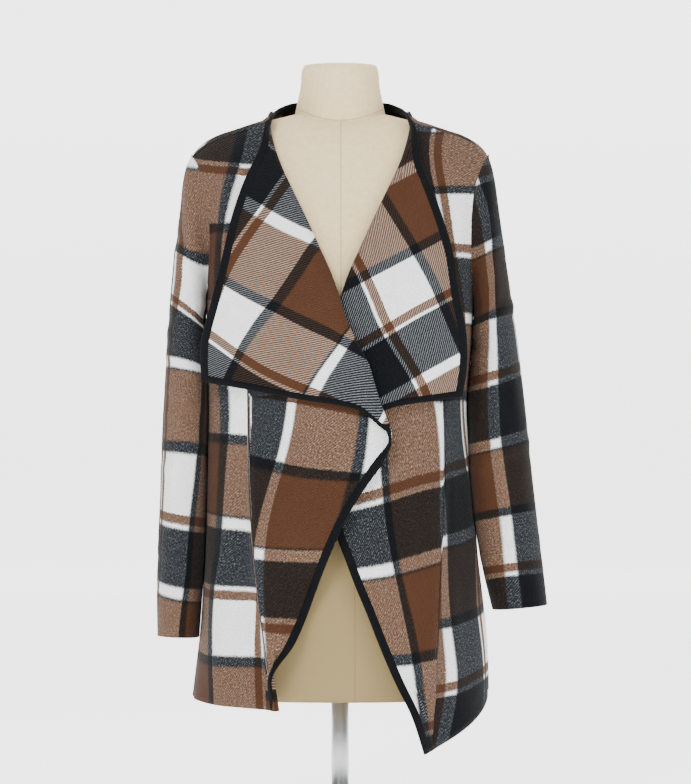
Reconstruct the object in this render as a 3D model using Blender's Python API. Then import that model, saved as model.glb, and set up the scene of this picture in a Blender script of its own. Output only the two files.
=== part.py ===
"""Open waterfall cardigan hanging on a limbless dress form, as closed solids.

The tables are in millimetres and the built meshes in metres. +Z is up, the front faces -Y and the
wearer's right is -X. The origin is the centre of the stand's underside.

Each garment piece is a grid of cells on a worked-out surface. A solid wall is made from the cells
that belong to the piece, so a panel and the binding on its edge come from the same grid and can't
meet. "Out" is a distance from the centre line towards the wearer's own side of that front, so both
fronts are written the same way and an edge that crosses the centre has a negative value.
"""

import math
from typing import NamedTuple

import bpy
import numpy as np

MM = 0.001

# Cloth, binding and seams
CLOTH_WALL = 1.6
SEAM_WALL = 1.0
BINDING_WALL = 3.2
BINDING_SEAM_WALL = 1.6
BINDING_WIDTH = 8.0
SEAM_GAP = 0.4
NECK_SEAM_GAP = 1.2
ROLL_RADIUS = 4.5
LAYER_LIFT = 18.0

# Heights of the garment
BUST_Z = 655.0
ARMHOLE_TOP_Z = 845.0
MEAN_SHOULDER_RISE = 215.0
BACK_HEM_Z = 178.0

# Where the shoulder seam ends at the neck, on the back and on the fronts
BACK_SEAM_INNER_X = 96.0
FRONT_SEAM_INNER_X = 94.0

# Section shapes: powers of the rounded outlines seen from above
BODY_POWER = 2.4
SLEEVE_POWER = 2.3
SIDE_PULL_POWER = 3
SHOULDER_POWER_FRONT = 2.0
SHOULDER_POWER_BACK = 2.8
SEAM_FORWARD = math.radians(14)

# Dress form and stand
FORM_CLEARANCE = 1.7
FORM_SIDE_BLEND = 1.5
FORM_FOOT_Z = 160.0
POST_RADIUS = 11.0
BASE_RADIUS = 150.0
BASE_HEIGHT = 18.0
BASE_EDGE = 5.0
TOUCH_GAP = 0.3


class Girth(NamedTuple):
    """Section of the hanging cloth at one height."""
    z: float
    right: float
    left: float
    front: float
    back: float


BODY = (
    Girth(z=95, right=187, left=190, front=128, back=114),
    Girth(z=170, right=185, left=187, front=124, back=112),
    Girth(z=236, right=177, left=181, front=119, back=107),
    Girth(z=300, right=172, left=173, front=114, back=103),
    Girth(z=400, right=168, left=163, front=109, back=96),
    Girth(z=470, right=167, left=160, front=109, back=93),
    Girth(z=540, right=166, left=160, front=112, back=93),
    Girth(z=600, right=167, left=165, front=116, back=97),
    Girth(z=655, right=168, left=168, front=118, back=100),
    Girth(z=717, right=171, left=171, front=118, back=100),
    Girth(z=769, right=179, left=179, front=118, back=100),
    Girth(z=812, right=190, left=190, front=118, back=100),
    Girth(z=845, right=200, left=200, front=118, back=100),
    Girth(z=980, right=202, left=202, front=118, back=100),
)


class FormGirth(NamedTuple):
    """Section of the dress form's torso at one height."""
    z: float
    side: float
    front: float
    back: float


FORM = (
    FormGirth(z=160, side=146, front=98, back=92),
    FormGirth(z=190, side=153, front=102, back=95),
    FormGirth(z=250, side=157, front=104, back=97),
    FormGirth(z=320, side=150, front=99, back=94),
    FormGirth(z=400, side=132, front=90, back=84),
    FormGirth(z=475, side=122, front=85, back=76),
    FormGirth(z=540, side=128, front=92, back=78),
    FormGirth(z=600, side=140, front=105, back=86),
    FormGirth(z=655, side=150, front=112, back=92),
    FormGirth(z=720, side=157, front=111, back=93),
    FormGirth(z=790, side=166, front=110, back=93),
    FormGirth(z=900, side=176, front=110, back=93),
)


class Ridge(NamedTuple):
    """Height of the shoulder line, and how much higher the cloth stands behind the neck."""
    x: float
    z: float
    behind: float


RIDGE = (
    Ridge(x=0, z=906, behind=42),
    Ridge(x=40, z=903, behind=40),
    Ridge(x=62, z=899, behind=26),
    Ridge(x=78, z=895, behind=8),
    Ridge(x=87, z=893, behind=1),
    Ridge(x=95, z=891, behind=0),
    Ridge(x=132, z=879, behind=0),
    Ridge(x=160, z=869, behind=0),
    Ridge(x=176, z=859, behind=0),
    Ridge(x=190, z=843, behind=0),
    Ridge(x=204, z=820, behind=0),
)


class Armhole(NamedTuple):
    """Armhole edge by angle from the shoulder line: its distance out, and the seam's width."""
    angle: float
    x: float
    gap: float


ARMHOLE = (
    Armhole(angle=0, x=187, gap=0.9),
    Armhole(angle=14, x=185.5, gap=0.9),
    Armhole(angle=30, x=178, gap=1.1),
    Armhole(angle=43, x=170, gap=1.4),
    Armhole(angle=56, x=165, gap=1.6),
    Armhole(angle=68, x=163, gap=1.6),
    Armhole(angle=80, x=165, gap=1.6),
    Armhole(angle=90, x=168, gap=1.6),
)


ARMHOLE_CENTRE_X = 185.0
ARMHOLE_CENTRE_Z = 755.0


class Edge(NamedTuple):
    """Point of an outline seen from the front: height, and distance out from the centre."""
    z: float
    out: float


class LowerEdge(NamedTuple):
    """Lower edge of a lapel: share of the way out, and rise above the straight line."""
    share: float
    rise: float


class Front(NamedTuple):
    """One front: which side it is on, and its outlines."""
    name: str
    side: int
    edge: tuple
    lapel: tuple
    lower: tuple
    turn_z: float
    side_hem: float
    lift: float
    folds: tuple


class Fold(NamedTuple):
    """A hanging fold: where it starts and ends, how deep and wide it is, its overhang."""
    top_z: float
    top_out: float
    low_z: float
    low_out: float
    depth: float
    width: float
    overhang: float


RIGHT_FRONT = Front(
    name="front_right",
    side=-1,
    turn_z=499.0,
    side_hem=161.0,
    lift=LAYER_LIFT,
    edge=(
        Edge(z=152, out=76), Edge(z=176, out=78), Edge(z=203, out=70), Edge(z=239, out=55),
        Edge(z=283, out=36), Edge(z=336, out=17), Edge(z=378, out=-1), Edge(z=423, out=-26),
        Edge(z=459, out=-52), Edge(z=481, out=-61), Edge(z=499, out=-62), Edge(z=520, out=-54),
        Edge(z=542, out=-46), Edge(z=578, out=-36), Edge(z=625, out=-12), Edge(z=670, out=3),
        Edge(z=761, out=42), Edge(z=849, out=81), Edge(z=888, out=90),
    ),
    lapel=(
        Edge(z=560, out=172), Edge(z=608, out=172), Edge(z=651, out=161), Edge(z=710, out=146),
        Edge(z=769, out=132), Edge(z=809, out=118), Edge(z=839, out=106), Edge(z=864, out=93),
        Edge(z=880, out=91),
    ),
    lower=(
        LowerEdge(share=0, rise=0), LowerEdge(share=0.06, rise=12),
        LowerEdge(share=0.2, rise=16), LowerEdge(share=0.5, rise=10),
        LowerEdge(share=0.78, rise=5), LowerEdge(share=1, rise=0),
    ),
    folds=(
        Fold(top_z=545, top_out=116, low_z=150, low_out=100, depth=24, width=9, overhang=5),
        Fold(top_z=420, top_out=46, low_z=150, low_out=62, depth=-7, width=14, overhang=0),
        Fold(top_z=470, top_out=150, low_z=150, low_out=150, depth=7, width=16, overhang=0),
    ),
)

LEFT_FRONT = Front(
    name="front_left",
    side=1,
    turn_z=486.0,
    side_hem=171.0,
    lift=0.0,
    edge=(
        Edge(z=99, out=101), Edge(z=132, out=91), Edge(z=176, out=74), Edge(z=220, out=55),
        Edge(z=268, out=36), Edge(z=319, out=15), Edge(z=349, out=4), Edge(z=395, out=-13),
        Edge(z=440, out=-23), Edge(z=486, out=-27), Edge(z=540, out=-23), Edge(z=600, out=-14),
        Edge(z=670, out=3), Edge(z=761, out=42), Edge(z=849, out=81), Edge(z=888, out=90),
    ),
    lapel=(
        Edge(z=541, out=151), Edge(z=580, out=157), Edge(z=626, out=155), Edge(z=665, out=147),
        Edge(z=720, out=139), Edge(z=772, out=123), Edge(z=819, out=106), Edge(z=850, out=95),
        Edge(z=880, out=91),
    ),
    lower=(
        LowerEdge(share=0, rise=0), LowerEdge(share=0.25, rise=10),
        LowerEdge(share=0.5, rise=14), LowerEdge(share=0.8, rise=6), LowerEdge(share=1, rise=0),
    ),
    folds=(
        Fold(top_z=545, top_out=122, low_z=150, low_out=137, depth=18, width=9, overhang=4),
        Fold(top_z=250, top_out=116, low_z=99, low_out=106, depth=-9, width=9, overhang=0),
        Fold(top_z=400, top_out=80, low_z=150, low_out=100, depth=6, width=14, overhang=0),
    ),
)


class Overlap(NamedTuple):
    """Where one front lies over the other: its limits, and how gently it is lifted to it."""
    outer_out: float
    side_ramp: float
    low_z: float
    low_ramp: float
    top_z: float
    top_ramp: float


OVERLAP = Overlap(outer_out=95, side_ramp=75, low_z=290, low_ramp=70, top_z=740, top_ramp=90)


class RollTurn(NamedTuple):
    """How far the edge has rolled over at one height, in degrees."""
    z: float
    angle: float


NECK_ROLL = (RollTurn(z=835, angle=180), RollTurn(z=860, angle=125), RollTurn(z=884, angle=50))
EDGE_UNROLL_HEIGHT = 42.0
TURN_ROW_POWER = 1.3
EDGE_FLAT_ANGLE = 8.0
STAND_WIDTH = 14.0
STAND_LOW_Z = 815.0
STAND_RISE = 45.0
LAPEL_SPREAD = 32.0
LAPEL_PUFF = 1.5
LAPEL_NEAR = 0.2

# A hanging fold reaches full depth part of the way down, in shares and in fold widths
FOLD_GROWTH = 2.2
FOLD_CREST_LENGTH = 6.0
FOLD_OVERHANG_AT = 0.6


class SleeveRing(NamedTuple):
    """A section of a sleeve: outer and inner lines seen from the front, and half its depth."""
    outer_x: float
    outer_z: float
    inner_x: float
    inner_z: float
    half_depth: float


RIGHT_SLEEVE = (
    SleeveRing(outer_x=188.0, outer_z=842, inner_x=169.0, inner_z=656.6, half_depth=52),
    SleeveRing(outer_x=197.0, outer_z=822, inner_x=171.8, inner_z=655, half_depth=52),
    SleeveRing(outer_x=203.0, outer_z=775, inner_x=173.0, inner_z=645, half_depth=52),
    SleeveRing(outer_x=210.0, outer_z=715, inner_x=172.5, inner_z=622, half_depth=51),
    SleeveRing(outer_x=216.5, outer_z=645, inner_x=171.5, inner_z=588, half_depth=50),
    SleeveRing(outer_x=221.0, outer_z=566, inner_x=170.6, inner_z=540, half_depth=48),
    SleeveRing(outer_x=225.5, outer_z=480, inner_x=171.5, inner_z=470, half_depth=46),
    SleeveRing(outer_x=228.0, outer_z=400, inner_x=173.0, inner_z=396, half_depth=44),
    SleeveRing(outer_x=231.5, outer_z=320, inner_x=176.5, inner_z=318, half_depth=42),
    SleeveRing(outer_x=231.0, outer_z=238, inner_x=180.5, inner_z=236, half_depth=41),
)

LEFT_SLEEVE = (
    SleeveRing(outer_x=188.0, outer_z=842, inner_x=169.0, inner_z=656.6, half_depth=52),
    SleeveRing(outer_x=195.0, outer_z=818, inner_x=171.6, inner_z=655, half_depth=52),
    SleeveRing(outer_x=202.0, outer_z=768, inner_x=172.3, inner_z=645, half_depth=52),
    SleeveRing(outer_x=211.0, outer_z=705, inner_x=171.2, inner_z=622, half_depth=51),
    SleeveRing(outer_x=221.0, outer_z=635, inner_x=168.8, inner_z=588, half_depth=50),
    SleeveRing(outer_x=231.0, outer_z=555, inner_x=164.8, inner_z=540, half_depth=48),
    SleeveRing(outer_x=239.5, outer_z=472, inner_x=165.0, inner_z=470, half_depth=46),
    SleeveRing(outer_x=248.0, outer_z=396, inner_x=170.5, inner_z=400, half_depth=44),
    SleeveRing(outer_x=256.0, outer_z=330, inner_x=180.0, inner_z=330, half_depth=42),
    SleeveRing(outer_x=262.0, outer_z=277, inner_x=194.0, inner_z=271, half_depth=41),
)


class NeckPoint(NamedTuple):
    """Neck edge of the back, the lean of its binding, and the cloth just below the edge."""
    x: float
    y: float
    z: float
    lean_in: float
    lean_forward: float
    base_x: float
    base_y: float
    base_z: float


NECK_EDGE = (
    NeckPoint(x=91, y=-10, z=893.5, lean_in=0.6, lean_forward=0.1,
              base_x=99, base_y=4, base_z=890.0),
    NeckPoint(x=88, y=12, z=898, lean_in=0.5, lean_forward=0.1,
              base_x=97, base_y=20, base_z=889.5),
    NeckPoint(x=79, y=36, z=901, lean_in=0.35, lean_forward=0.2,
              base_x=86, base_y=43, base_z=888.0),
    NeckPoint(x=58, y=59, z=902, lean_in=0.2, lean_forward=0.3,
              base_x=63, base_y=64, base_z=888.0),
    NeckPoint(x=31, y=70, z=901, lean_in=0.1, lean_forward=0.35,
              base_x=33, base_y=75, base_z=887.0),
    NeckPoint(x=0, y=73, z=900, lean_in=0.0, lean_forward=0.35,
              base_x=0, base_y=78, base_z=886.0),
)
SEAM_END_BASE = (99.0, -8.0, 888.6)

# Grid sizes
ROWS_BELOW_TURN = 11
ROWS_TURN_TO_BUST = 6
FRONT_UPPER_ANGLES = (90, 82, 73, 63, 53, 43, 34, 26, 19, 14)
SIDE_COLUMNS = 5
FOLD_COLUMNS = (9.0, 3.5, -1.5, -6.0, -13.0)
FOLD_ROOM = 16.0
FOLD_EDGE_ROOM = 2.0
CENTRE_COLUMNS = 5
PROBE = 2.0
BODY_COLUMNS = SIDE_COLUMNS + len(FOLD_COLUMNS) - 1 + CENTRE_COLUMNS
ROLL_GAP_START = 0.41
ROLL_ANGLES = (0.0, 0.2, ROLL_GAP_START, 0.435, 0.62, 0.81, 1.0)
LAPEL_COLUMNS = 7
BACK_SHOULDER_COLUMNS = 7
BACK_NECK_COLUMNS = 8
BACK_LOWER_ROWS = 11
NECK_FADE_START = 0.55
BACK_UPPER_ANGLES = (-90, -87, -82, -75, -66, -55, -43, -32, -21, -11, -3, 4, 14)
SLEEVE_ROWS = 15
SLEEVE_ROW_POWER = 1.25
SLEEVE_HEAD_SHARE = 0.3
SLEEVE_ANGLES = (-90, -82, -75, -66, -55, -43, -32, -21, -11, -3, 4, 14, 26, 34, 43, 53, 63, 73, 82)
FORM_LOWER_ROWS = 11
FORM_UPPER_ANGLES = (90, 76, 62, 50, 39, 29, 20, 12, 5)
FORM_COLUMNS = 40
NECK_COLUMNS = 28
BASE_SIDES = 56
POST_SIDES = 20


def smooth_curve(keys, values):
    """Return a function through the points, smooth at each (cubic Hermite)."""
    keys = np.asarray(keys, dtype=float)
    values = np.asarray(values, dtype=float)
    order = np.argsort(keys)
    keys = keys[order]
    values = values[order]
    slopes = np.gradient(values, keys)

    def at(key):
        key = np.clip(key, keys[0], keys[-1])
        low = np.clip(np.searchsorted(keys, key, side="right") - 1, 0, len(keys) - 2)
        span = keys[low + 1] - keys[low]
        t = (key - keys[low]) / span
        start = (1 + 2 * t) * (1 - t) ** 2 * values[low]
        start_slope = t * (1 - t) ** 2 * span * slopes[low]
        end = t * t * (3 - 2 * t) * values[low + 1]
        end_slope = t * t * (t - 1) * span * slopes[low + 1]
        return start + start_slope + end + end_slope

    return at


def column_curve(rows, key, value):
    """Smooth curve of one named column of a table against another."""
    return smooth_curve([getattr(row, key) for row in rows], [getattr(row, value) for row in rows])


def soft_step(t):
    """Rise from 0 to 1 as t goes from 0 to 1."""
    t = np.clip(t, 0.0, 1.0)
    return t * t * (3 - 2 * t)


def unit(vectors):
    """Scale vectors to length 1."""
    length = np.linalg.norm(vectors, axis=-1, keepdims=True)
    return vectors / np.maximum(length, 1e-9)


def power_wave(wave, power):
    """Signed power of a sine or cosine, for rounded-square outlines."""
    return np.sign(wave) * np.abs(wave) ** (2.0 / power)


half_right = column_curve(BODY, "z", "right")
half_left = column_curve(BODY, "z", "left")
depth_front = column_curve(BODY, "z", "front")
depth_back = column_curve(BODY, "z", "back")
ridge_front = column_curve(RIDGE, "x", "z")
neck_rise = column_curve(RIDGE, "x", "behind")
armhole_x = column_curve(ARMHOLE, "angle", "x")
armhole_gap = column_curve(ARMHOLE, "angle", "gap")
neck_roll = column_curve(NECK_ROLL, "z", "angle")


def ridge_back(x):
    """Height of the shoulder line as the back sees it, higher behind the neck."""
    return ridge_front(x) + neck_rise(x)


def half_width(side, z):
    """Half width of the hanging body on one side."""
    return half_right(z) if side < 0 else half_left(z)


def shoulder_share(z, ridge, power):
    """Share of the full depth at a height above the bust: 1 at the bust, 0 on the shoulder line."""
    drop = np.clip((z - BUST_Z) / (ridge - BUST_Z), 0.0, 1.0)
    return (1.0 - drop ** power) ** (1.0 / power)


def side_share(x, half):
    """Share of the full depth at a distance from the centre: 0 at the side."""
    ratio = np.clip(np.abs(x) / half, 0.0, 1.0)
    return (1.0 - ratio ** BODY_POWER) ** (1.0 / BODY_POWER)


def front_depth(x, z, spread=0.0):
    """Distance of the front cloth before the centre plane."""
    half = np.where(x < 0, half_right(z), half_left(z)) + spread
    share = shoulder_share(z, ridge_front(np.abs(x)), SHOULDER_POWER_FRONT)
    return depth_front(z) * share * side_share(x, half)


def back_depth(x, z):
    """Distance of the back cloth behind the centre plane."""
    half = np.where(x < 0, half_right(z), half_left(z))
    share = shoulder_share(z, ridge_back(np.abs(x)), SHOULDER_POWER_BACK)
    return depth_back(z) * share * side_share(x, half)


def row_directions(points):
    """Direction of a smooth curve through each column of points, for uneven steps."""
    step = np.diff(points, axis=0)
    length = np.maximum(np.linalg.norm(step, axis=-1, keepdims=True), 1e-6)
    slope = step / length
    inner = (slope[:-1] * length[1:] + slope[1:] * length[:-1]) / (length[:-1] + length[1:])
    return np.concatenate([slope[:1], inner, slope[-1:]])


def grid_normals(points, closed=False):
    """Unit normals of a grid of points, from its row and column directions."""
    along = row_directions(points)
    turned = points.transpose(1, 0, 2)
    if closed:
        turned = np.concatenate([turned[-1:], turned, turned[:1]])
        across = row_directions(turned)[1:-1].transpose(1, 0, 2)
    else:
        across = row_directions(turned).transpose(1, 0, 2)
    return unit(np.cross(across, along))


def wall_mesh(points, normals, cells, wall, closed=False):
    """Closed wall from the chosen cells of a grid.

    points and normals are rows by columns by 3, cells is True where the wall has material, and
    wall is its thickness, one number or one for each point.
    """
    rows, columns = points.shape[:2]
    half = np.broadcast_to(wall, (rows, columns))[..., None] / 2
    outer = points + normals * half
    inner = points - normals * half
    total = rows * columns
    everything = np.concatenate([outer.reshape(-1, 3), inner.reshape(-1, 3)])
    row, column = np.nonzero(cells)
    following = (column + 1) % columns if closed else column + 1
    a = row * columns + column
    b = row * columns + following
    c = (row + 1) * columns + following
    d = (row + 1) * columns + column
    front = np.stack([a, b, c, d], axis=1)
    back = front[:, ::-1] + total
    sides = np.concatenate([front[:, [k, (k + 1) % 4]] for k in range(4)])
    known = {tuple(pair) for pair in sides.tolist()}
    rim = np.array([pair for pair in known if (pair[1], pair[0]) not in known])
    rim = rim[np.lexsort((rim[:, 1], rim[:, 0]))]
    edges = np.stack([rim[:, 1], rim[:, 0], rim[:, 0] + total, rim[:, 1] + total], axis=1)
    faces = np.concatenate([front, back, edges])
    used, packed = np.unique(faces, return_inverse=True)
    return everything[used], packed.reshape(-1, 4)


def binding_walls(binding_cells, cloth_cells):
    """Thickness of a binding at each grid point: thinner along the side sewn to the cloth."""
    rows, columns = binding_cells.shape
    wall = np.full((rows + 1, columns + 1), BINDING_WALL)
    gap = ~(binding_cells | cloth_cells)
    for row, column in zip(*np.nonzero(gap)):
        wall[row:row + 2, column:column + 2] = BINDING_SEAM_WALL
    return wall


def split_quads(vertices, faces):
    """Cut each four-sided face along its shorter diagonal, leaving out collapsed triangles."""
    corner = vertices[faces]
    first = np.linalg.norm(corner[:, 0] - corner[:, 2], axis=1)
    second = np.linalg.norm(corner[:, 1] - corner[:, 3], axis=1)
    short = (first <= second)[:, None]
    one = np.where(short, faces[:, [0, 1, 2]], faces[:, [0, 1, 3]])
    two = np.where(short, faces[:, [0, 2, 3]], faces[:, [1, 2, 3]])
    return np.concatenate([one, two])


def add_object(name, vertices, faces, material, smooth=True):
    """Make a named object from vertices in millimetres."""
    mesh = bpy.data.meshes.new(name)
    mesh.from_pydata((np.asarray(vertices) * MM).tolist(), [], [list(face) for face in faces])
    mesh.materials.append(material)
    mesh.update()
    if smooth:
        mesh.shade_smooth()
        mesh.set_sharp_from_angle(angle=math.radians(50))
    built = bpy.data.objects.new(name, mesh)
    bpy.context.collection.objects.link(built)
    return built


def make_material(name, colour, roughness, metallic=0.0):
    """Principled material from a linear colour."""
    material = bpy.data.materials.new(name)
    material.use_nodes = True
    shader = material.node_tree.nodes["Principled BSDF"]
    shader.inputs["Base Color"].default_value = (*colour, 1.0)
    shader.inputs["Roughness"].default_value = roughness
    shader.inputs["Metallic"].default_value = metallic
    return material


def fold_shift(front, out, z):
    """Forward depth and sideways overhang of all hanging folds at points of a front."""
    depth = np.zeros_like(out)
    overhang = np.zeros_like(out)
    for fold in front.folds:
        way = np.clip((fold.top_z - z) / (fold.top_z - fold.low_z), 0.0, 1.2)
        line = fold.top_out + (fold.low_out - fold.top_out) * way
        strength = soft_step(way * FOLD_GROWTH)
        t = (line - out) / fold.width
        if fold.overhang > 0:
            crest = 0.5 + 0.5 * np.tanh(t)
            fade = np.exp(-np.clip(t, 0, None) / FOLD_CREST_LENGTH)
            depth += fold.depth * strength * crest * fade
            overhang += fold.overhang * strength * np.exp(-(t - FOLD_OVERHANG_AT) ** 2)
        else:
            depth += fold.depth * strength * np.exp(-t * t)
    return depth, overhang


def layer_lift(front, out, z):
    """How far the front that lies on top is held forward where the fronts cross."""
    across = soft_step((OVERLAP.outer_out - out) / OVERLAP.side_ramp)
    below = soft_step((z - OVERLAP.low_z) / OVERLAP.low_ramp)
    above = soft_step((OVERLAP.top_z - z) / OVERLAP.top_ramp)
    return front.lift * across * below * above


def front_surface(front, out, z, spread=0.0, ahead=0.0):
    """Points of a front's cloth at given distances out and heights.

    spread widens the section and leaves out the hanging folds, for the lapel that lies outside.
    """
    x = front.side * out
    fold, overhang = fold_shift(front, out, z)
    if spread > 0:
        fold = 0.0
        overhang = 0.0
    y = -front_depth(x, z, spread) - layer_lift(front, out, z) - fold - ahead
    return np.stack([front.side * (out + overhang), y - SEAM_GAP / 2, z], axis=-1)


def edge_rows(front):
    """Heights of the rows along the front edge and roll line, from the hem to the shoulder seam."""
    low = front.edge[0].z
    turn = front.turn_z
    below = turn - (turn - low) * (1 - np.linspace(0, 1, ROWS_BELOW_TURN + 1)) ** TURN_ROW_POWER
    strip = np.array([turn + BINDING_WIDTH, turn + BINDING_WIDTH + SEAM_GAP])
    middle = np.linspace(strip[-1], BUST_Z, ROWS_TURN_TO_BUST + 1)[1:]
    return below, strip, middle


def roll_angle(front, z):
    """Angle that the edge has rolled over, in radians: flat below the turn, half a turn above."""
    below = np.clip((front.turn_z - z) / EDGE_UNROLL_HEIGHT, 0.0, 1.0)
    angle = 180.0 + (EDGE_FLAT_ANGLE - 180.0) * soft_step(below)
    angle = np.where(z > NECK_ROLL[0].z, neck_roll(z), angle)
    return np.radians(angle)


def front_grid(front):
    """Grid of one front: body, roll and lapel columns; rows from the hem to the shoulder seam."""
    below, strip, middle = edge_rows(front)
    lower_z = np.concatenate([below, strip, middle])
    seam_top = BUST_Z + (ridge_front(FRONT_SEAM_INNER_X) - BUST_Z) * math.cos(SEAM_FORWARD)
    upper_turn = np.radians(np.asarray(FRONT_UPPER_ANGLES[1:], dtype=float))
    upper_z = BUST_Z + (seam_top - BUST_Z) * np.cos(upper_turn) / math.cos(SEAM_FORWARD)
    edge_z = np.concatenate([lower_z, upper_z])
    edge_out = column_curve(front.edge, "z", "out")(edge_z)
    turn_row = ROWS_BELOW_TURN
    bust_row = len(lower_z) - 1

    # Where the rolled edge starts, a little inside the outline
    angle = roll_angle(front, edge_z)
    length = math.pi * ROLL_RADIUS
    radius = np.where(edge_z < front.turn_z, length / angle, ROLL_RADIUS)
    reach = np.where(angle < math.pi / 2, radius * np.sin(angle), radius)
    slope_out = np.gradient(edge_out, edge_z)
    inward = unit(np.stack([np.ones_like(slope_out), -slope_out], axis=-1))
    start_out = edge_out + inward[:, 0] * reach
    start_z = edge_z + inward[:, 1] * reach
    start_z[-1] = BUST_Z + (ridge_front(start_out[-1]) - BUST_Z) * math.cos(SEAM_FORWARD)

    # Side seam below the bust, armhole above it
    rows = len(edge_z)
    side_z = np.empty(rows)
    side_x = np.empty(rows)
    share = (lower_z - lower_z[0]) / (BUST_Z - lower_z[0])
    side_z[:bust_row + 1] = front.side_hem + (BUST_Z - front.side_hem) * share
    side_x[:bust_row + 1] = half_width(front.side, side_z[:bust_row + 1])
    rise = (edge_z[bust_row:] - BUST_Z) / (seam_top - BUST_Z)
    turned = np.arccos(rise * math.cos(SEAM_FORWARD))
    arm_x = armhole_x(np.degrees(turned))
    side_x[bust_row:] = arm_x
    ridge = ridge_front(arm_x)
    side_z[bust_row:] = BUST_Z + (ridge - BUST_Z) * np.cos(turned)

    # Body columns, spaced by angle round the section
    first = section_angle(side_x, half_width(front.side, side_z))
    last = section_angle(start_out, half_width(front.side, start_z))
    fold = front.folds[0]
    way = (fold.top_z - edge_z) / (fold.top_z - fold.low_z)
    fold_out = fold.top_out + (fold.low_out - fold.top_out) * np.clip(way, 0, 1)
    room = np.clip((fold_out - start_out - FOLD_EDGE_ROOM) / FOLD_ROOM, 0.1, 1.0)[:, None]
    offsets = np.asarray(FOLD_COLUMNS)[None, :]
    near = fold_out[:, None] + np.where(offsets < 0, offsets * room, offsets)
    at_fold = section_angle(near, half_width(front.side, edge_z)[:, None])
    beside = np.linspace(0, 1, SIDE_COLUMNS + 1)[None, :-1]
    ahead = np.linspace(0, 1, CENTRE_COLUMNS + 1)[None, 1:]
    turned = np.concatenate([
        first[:, None] + (at_fold[:, :1] - first[:, None]) * beside,
        at_fold,
        at_fold[:, -1:] + (last[:, None] - at_fold[:, -1:]) * ahead,
    ], axis=1)
    columns = (turned - first[:, None]) / (last - first)[:, None]
    linear_z = side_z[:, None] + (start_z - side_z)[:, None] * columns
    half = half_width(front.side, linear_z)
    out = half * power_wave(np.cos(turned), BODY_POWER)
    # Above the bust each row follows the shoulder line's slope
    level = np.clip((side_z - BUST_Z) / (ridge_front(side_x) - BUST_Z), 0, 1)
    level_edge = np.clip((start_z - BUST_Z) / (ridge_front(np.abs(start_out)) - BUST_Z), 0, 1)
    level = level[:, None] + (level_edge - level)[:, None] * columns
    sloped_z = BUST_Z + (ridge_front(np.abs(out)) - BUST_Z) * level
    z = linear_z.copy()
    z[bust_row:] = sloped_z[bust_row:]
    body = front_surface(front, out, z)

    # Rolled edge: part of a circle that stands on the body's last column
    next_out = start_out - PROBE * inward[:, 0]
    ahead = front_surface(front, next_out, start_z - PROBE * inward[:, 1])
    start = body[:, -1]
    towards = unit(ahead - start)
    along = unit(np.gradient(start, axis=0))
    outward = unit(np.cross(towards, along)) * -front.side
    outward = outward * -np.sign(outward[:, 1:2])
    towards = unit(towards - outward * np.sum(towards * outward, axis=1, keepdims=True))
    turns = angle[:, None] * np.asarray(ROLL_ANGLES)[None, 1:]
    circle_in = (radius[:, None] * np.sin(turns))[..., None] * towards[:, None]
    circle_up = (radius[:, None] * (1 - np.cos(turns)))[..., None] * outward[:, None]
    roll = start[:, None] + circle_in + circle_up

    # Lapel: from the roll to its outer edge, lying just in front of the body
    lapel_rows = slice(turn_row, rows)
    lapel = lapel_grid(front, edge_z[lapel_rows], start_out[lapel_rows], start_z[lapel_rows],
                       roll[lapel_rows, -1], towards[lapel_rows], outward[lapel_rows],
                       angle[lapel_rows])
    lapel_columns = lapel.shape[1]
    body_columns = BODY_COLUMNS + len(ROLL_ANGLES)
    grid = np.zeros((rows, body_columns + lapel_columns, 3))
    grid[:, :BODY_COLUMNS + 1] = body
    grid[:, BODY_COLUMNS + 1:body_columns] = roll
    grid[lapel_rows, body_columns:] = lapel
    grid[:turn_row, body_columns:] = roll[:turn_row, -1:]
    return grid, turn_row, body_columns - 1


def lapel_grid(front, edge_z, start_out, start_z, roll_end, towards, outward, angle):
    """Columns of the lapel beyond the roll, from the turning point up to the shoulder seam."""
    top = edge_z[-1]
    share = (edge_z - edge_z[0]) / (top - edge_z[0])
    outline_z = np.array([point.z for point in front.lapel])
    outline_out = np.array([point.out for point in front.lapel])
    steps = np.hypot(np.diff(outline_z), np.diff(outline_out))
    run = np.concatenate([[0.0], np.cumsum(steps)])
    corner_step = run[-1] * share
    outer_z = smooth_curve(run, outline_z)(corner_step)
    outer_out = smooth_curve(run, outline_out)(corner_step)

    # Columns: even steps, then the seam gap and the binding strip
    width = np.hypot(outer_out - start_out, outer_z - start_z)
    width = np.maximum(width, STAND_WIDTH)
    fraction = np.empty((len(edge_z), LAPEL_COLUMNS + 2))
    cloth_end = 1 - (BINDING_WIDTH + SEAM_GAP) / width
    fraction[:, :LAPEL_COLUMNS] = np.linspace(0, 1, LAPEL_COLUMNS + 1)[None, 1:] * cloth_end[:, None]
    fraction[:, LAPEL_COLUMNS] = 1 - BINDING_WIDTH / width
    fraction[:, LAPEL_COLUMNS + 1] = 1.0

    out = start_out[:, None] + (outer_out - start_out)[:, None] * fraction
    z = start_z[:, None] + (outer_z - start_z)[:, None] * fraction
    rise = column_curve(front.lower, "share", "rise")(fraction)
    z = z + rise * ((1 - share) ** 4)[:, None]
    gap = 2 * ROLL_RADIUS + LAPEL_PUFF * np.sin(fraction * math.pi)
    draped = front_surface(front, out, z, LAPEL_SPREAD, gap)
    near = (np.clip(1 - fraction / LAPEL_NEAR, 0, 1) ** 2)[..., None]
    offset = roll_end - front_surface(front, start_out, start_z, LAPEL_SPREAD, 2 * ROLL_RADIUS)
    draped = draped + near * offset[:, None]

    heading = towards * np.cos(angle)[:, None] + outward * np.sin(angle)[:, None]
    ruled = roll_end[:, None] + heading[:, None] * (width[:, None] * fraction)[..., None]
    blend = soft_step((edge_z - STAND_LOW_Z) / STAND_RISE)[:, None, None]
    return draped * (1 - blend) + ruled * blend


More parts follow.
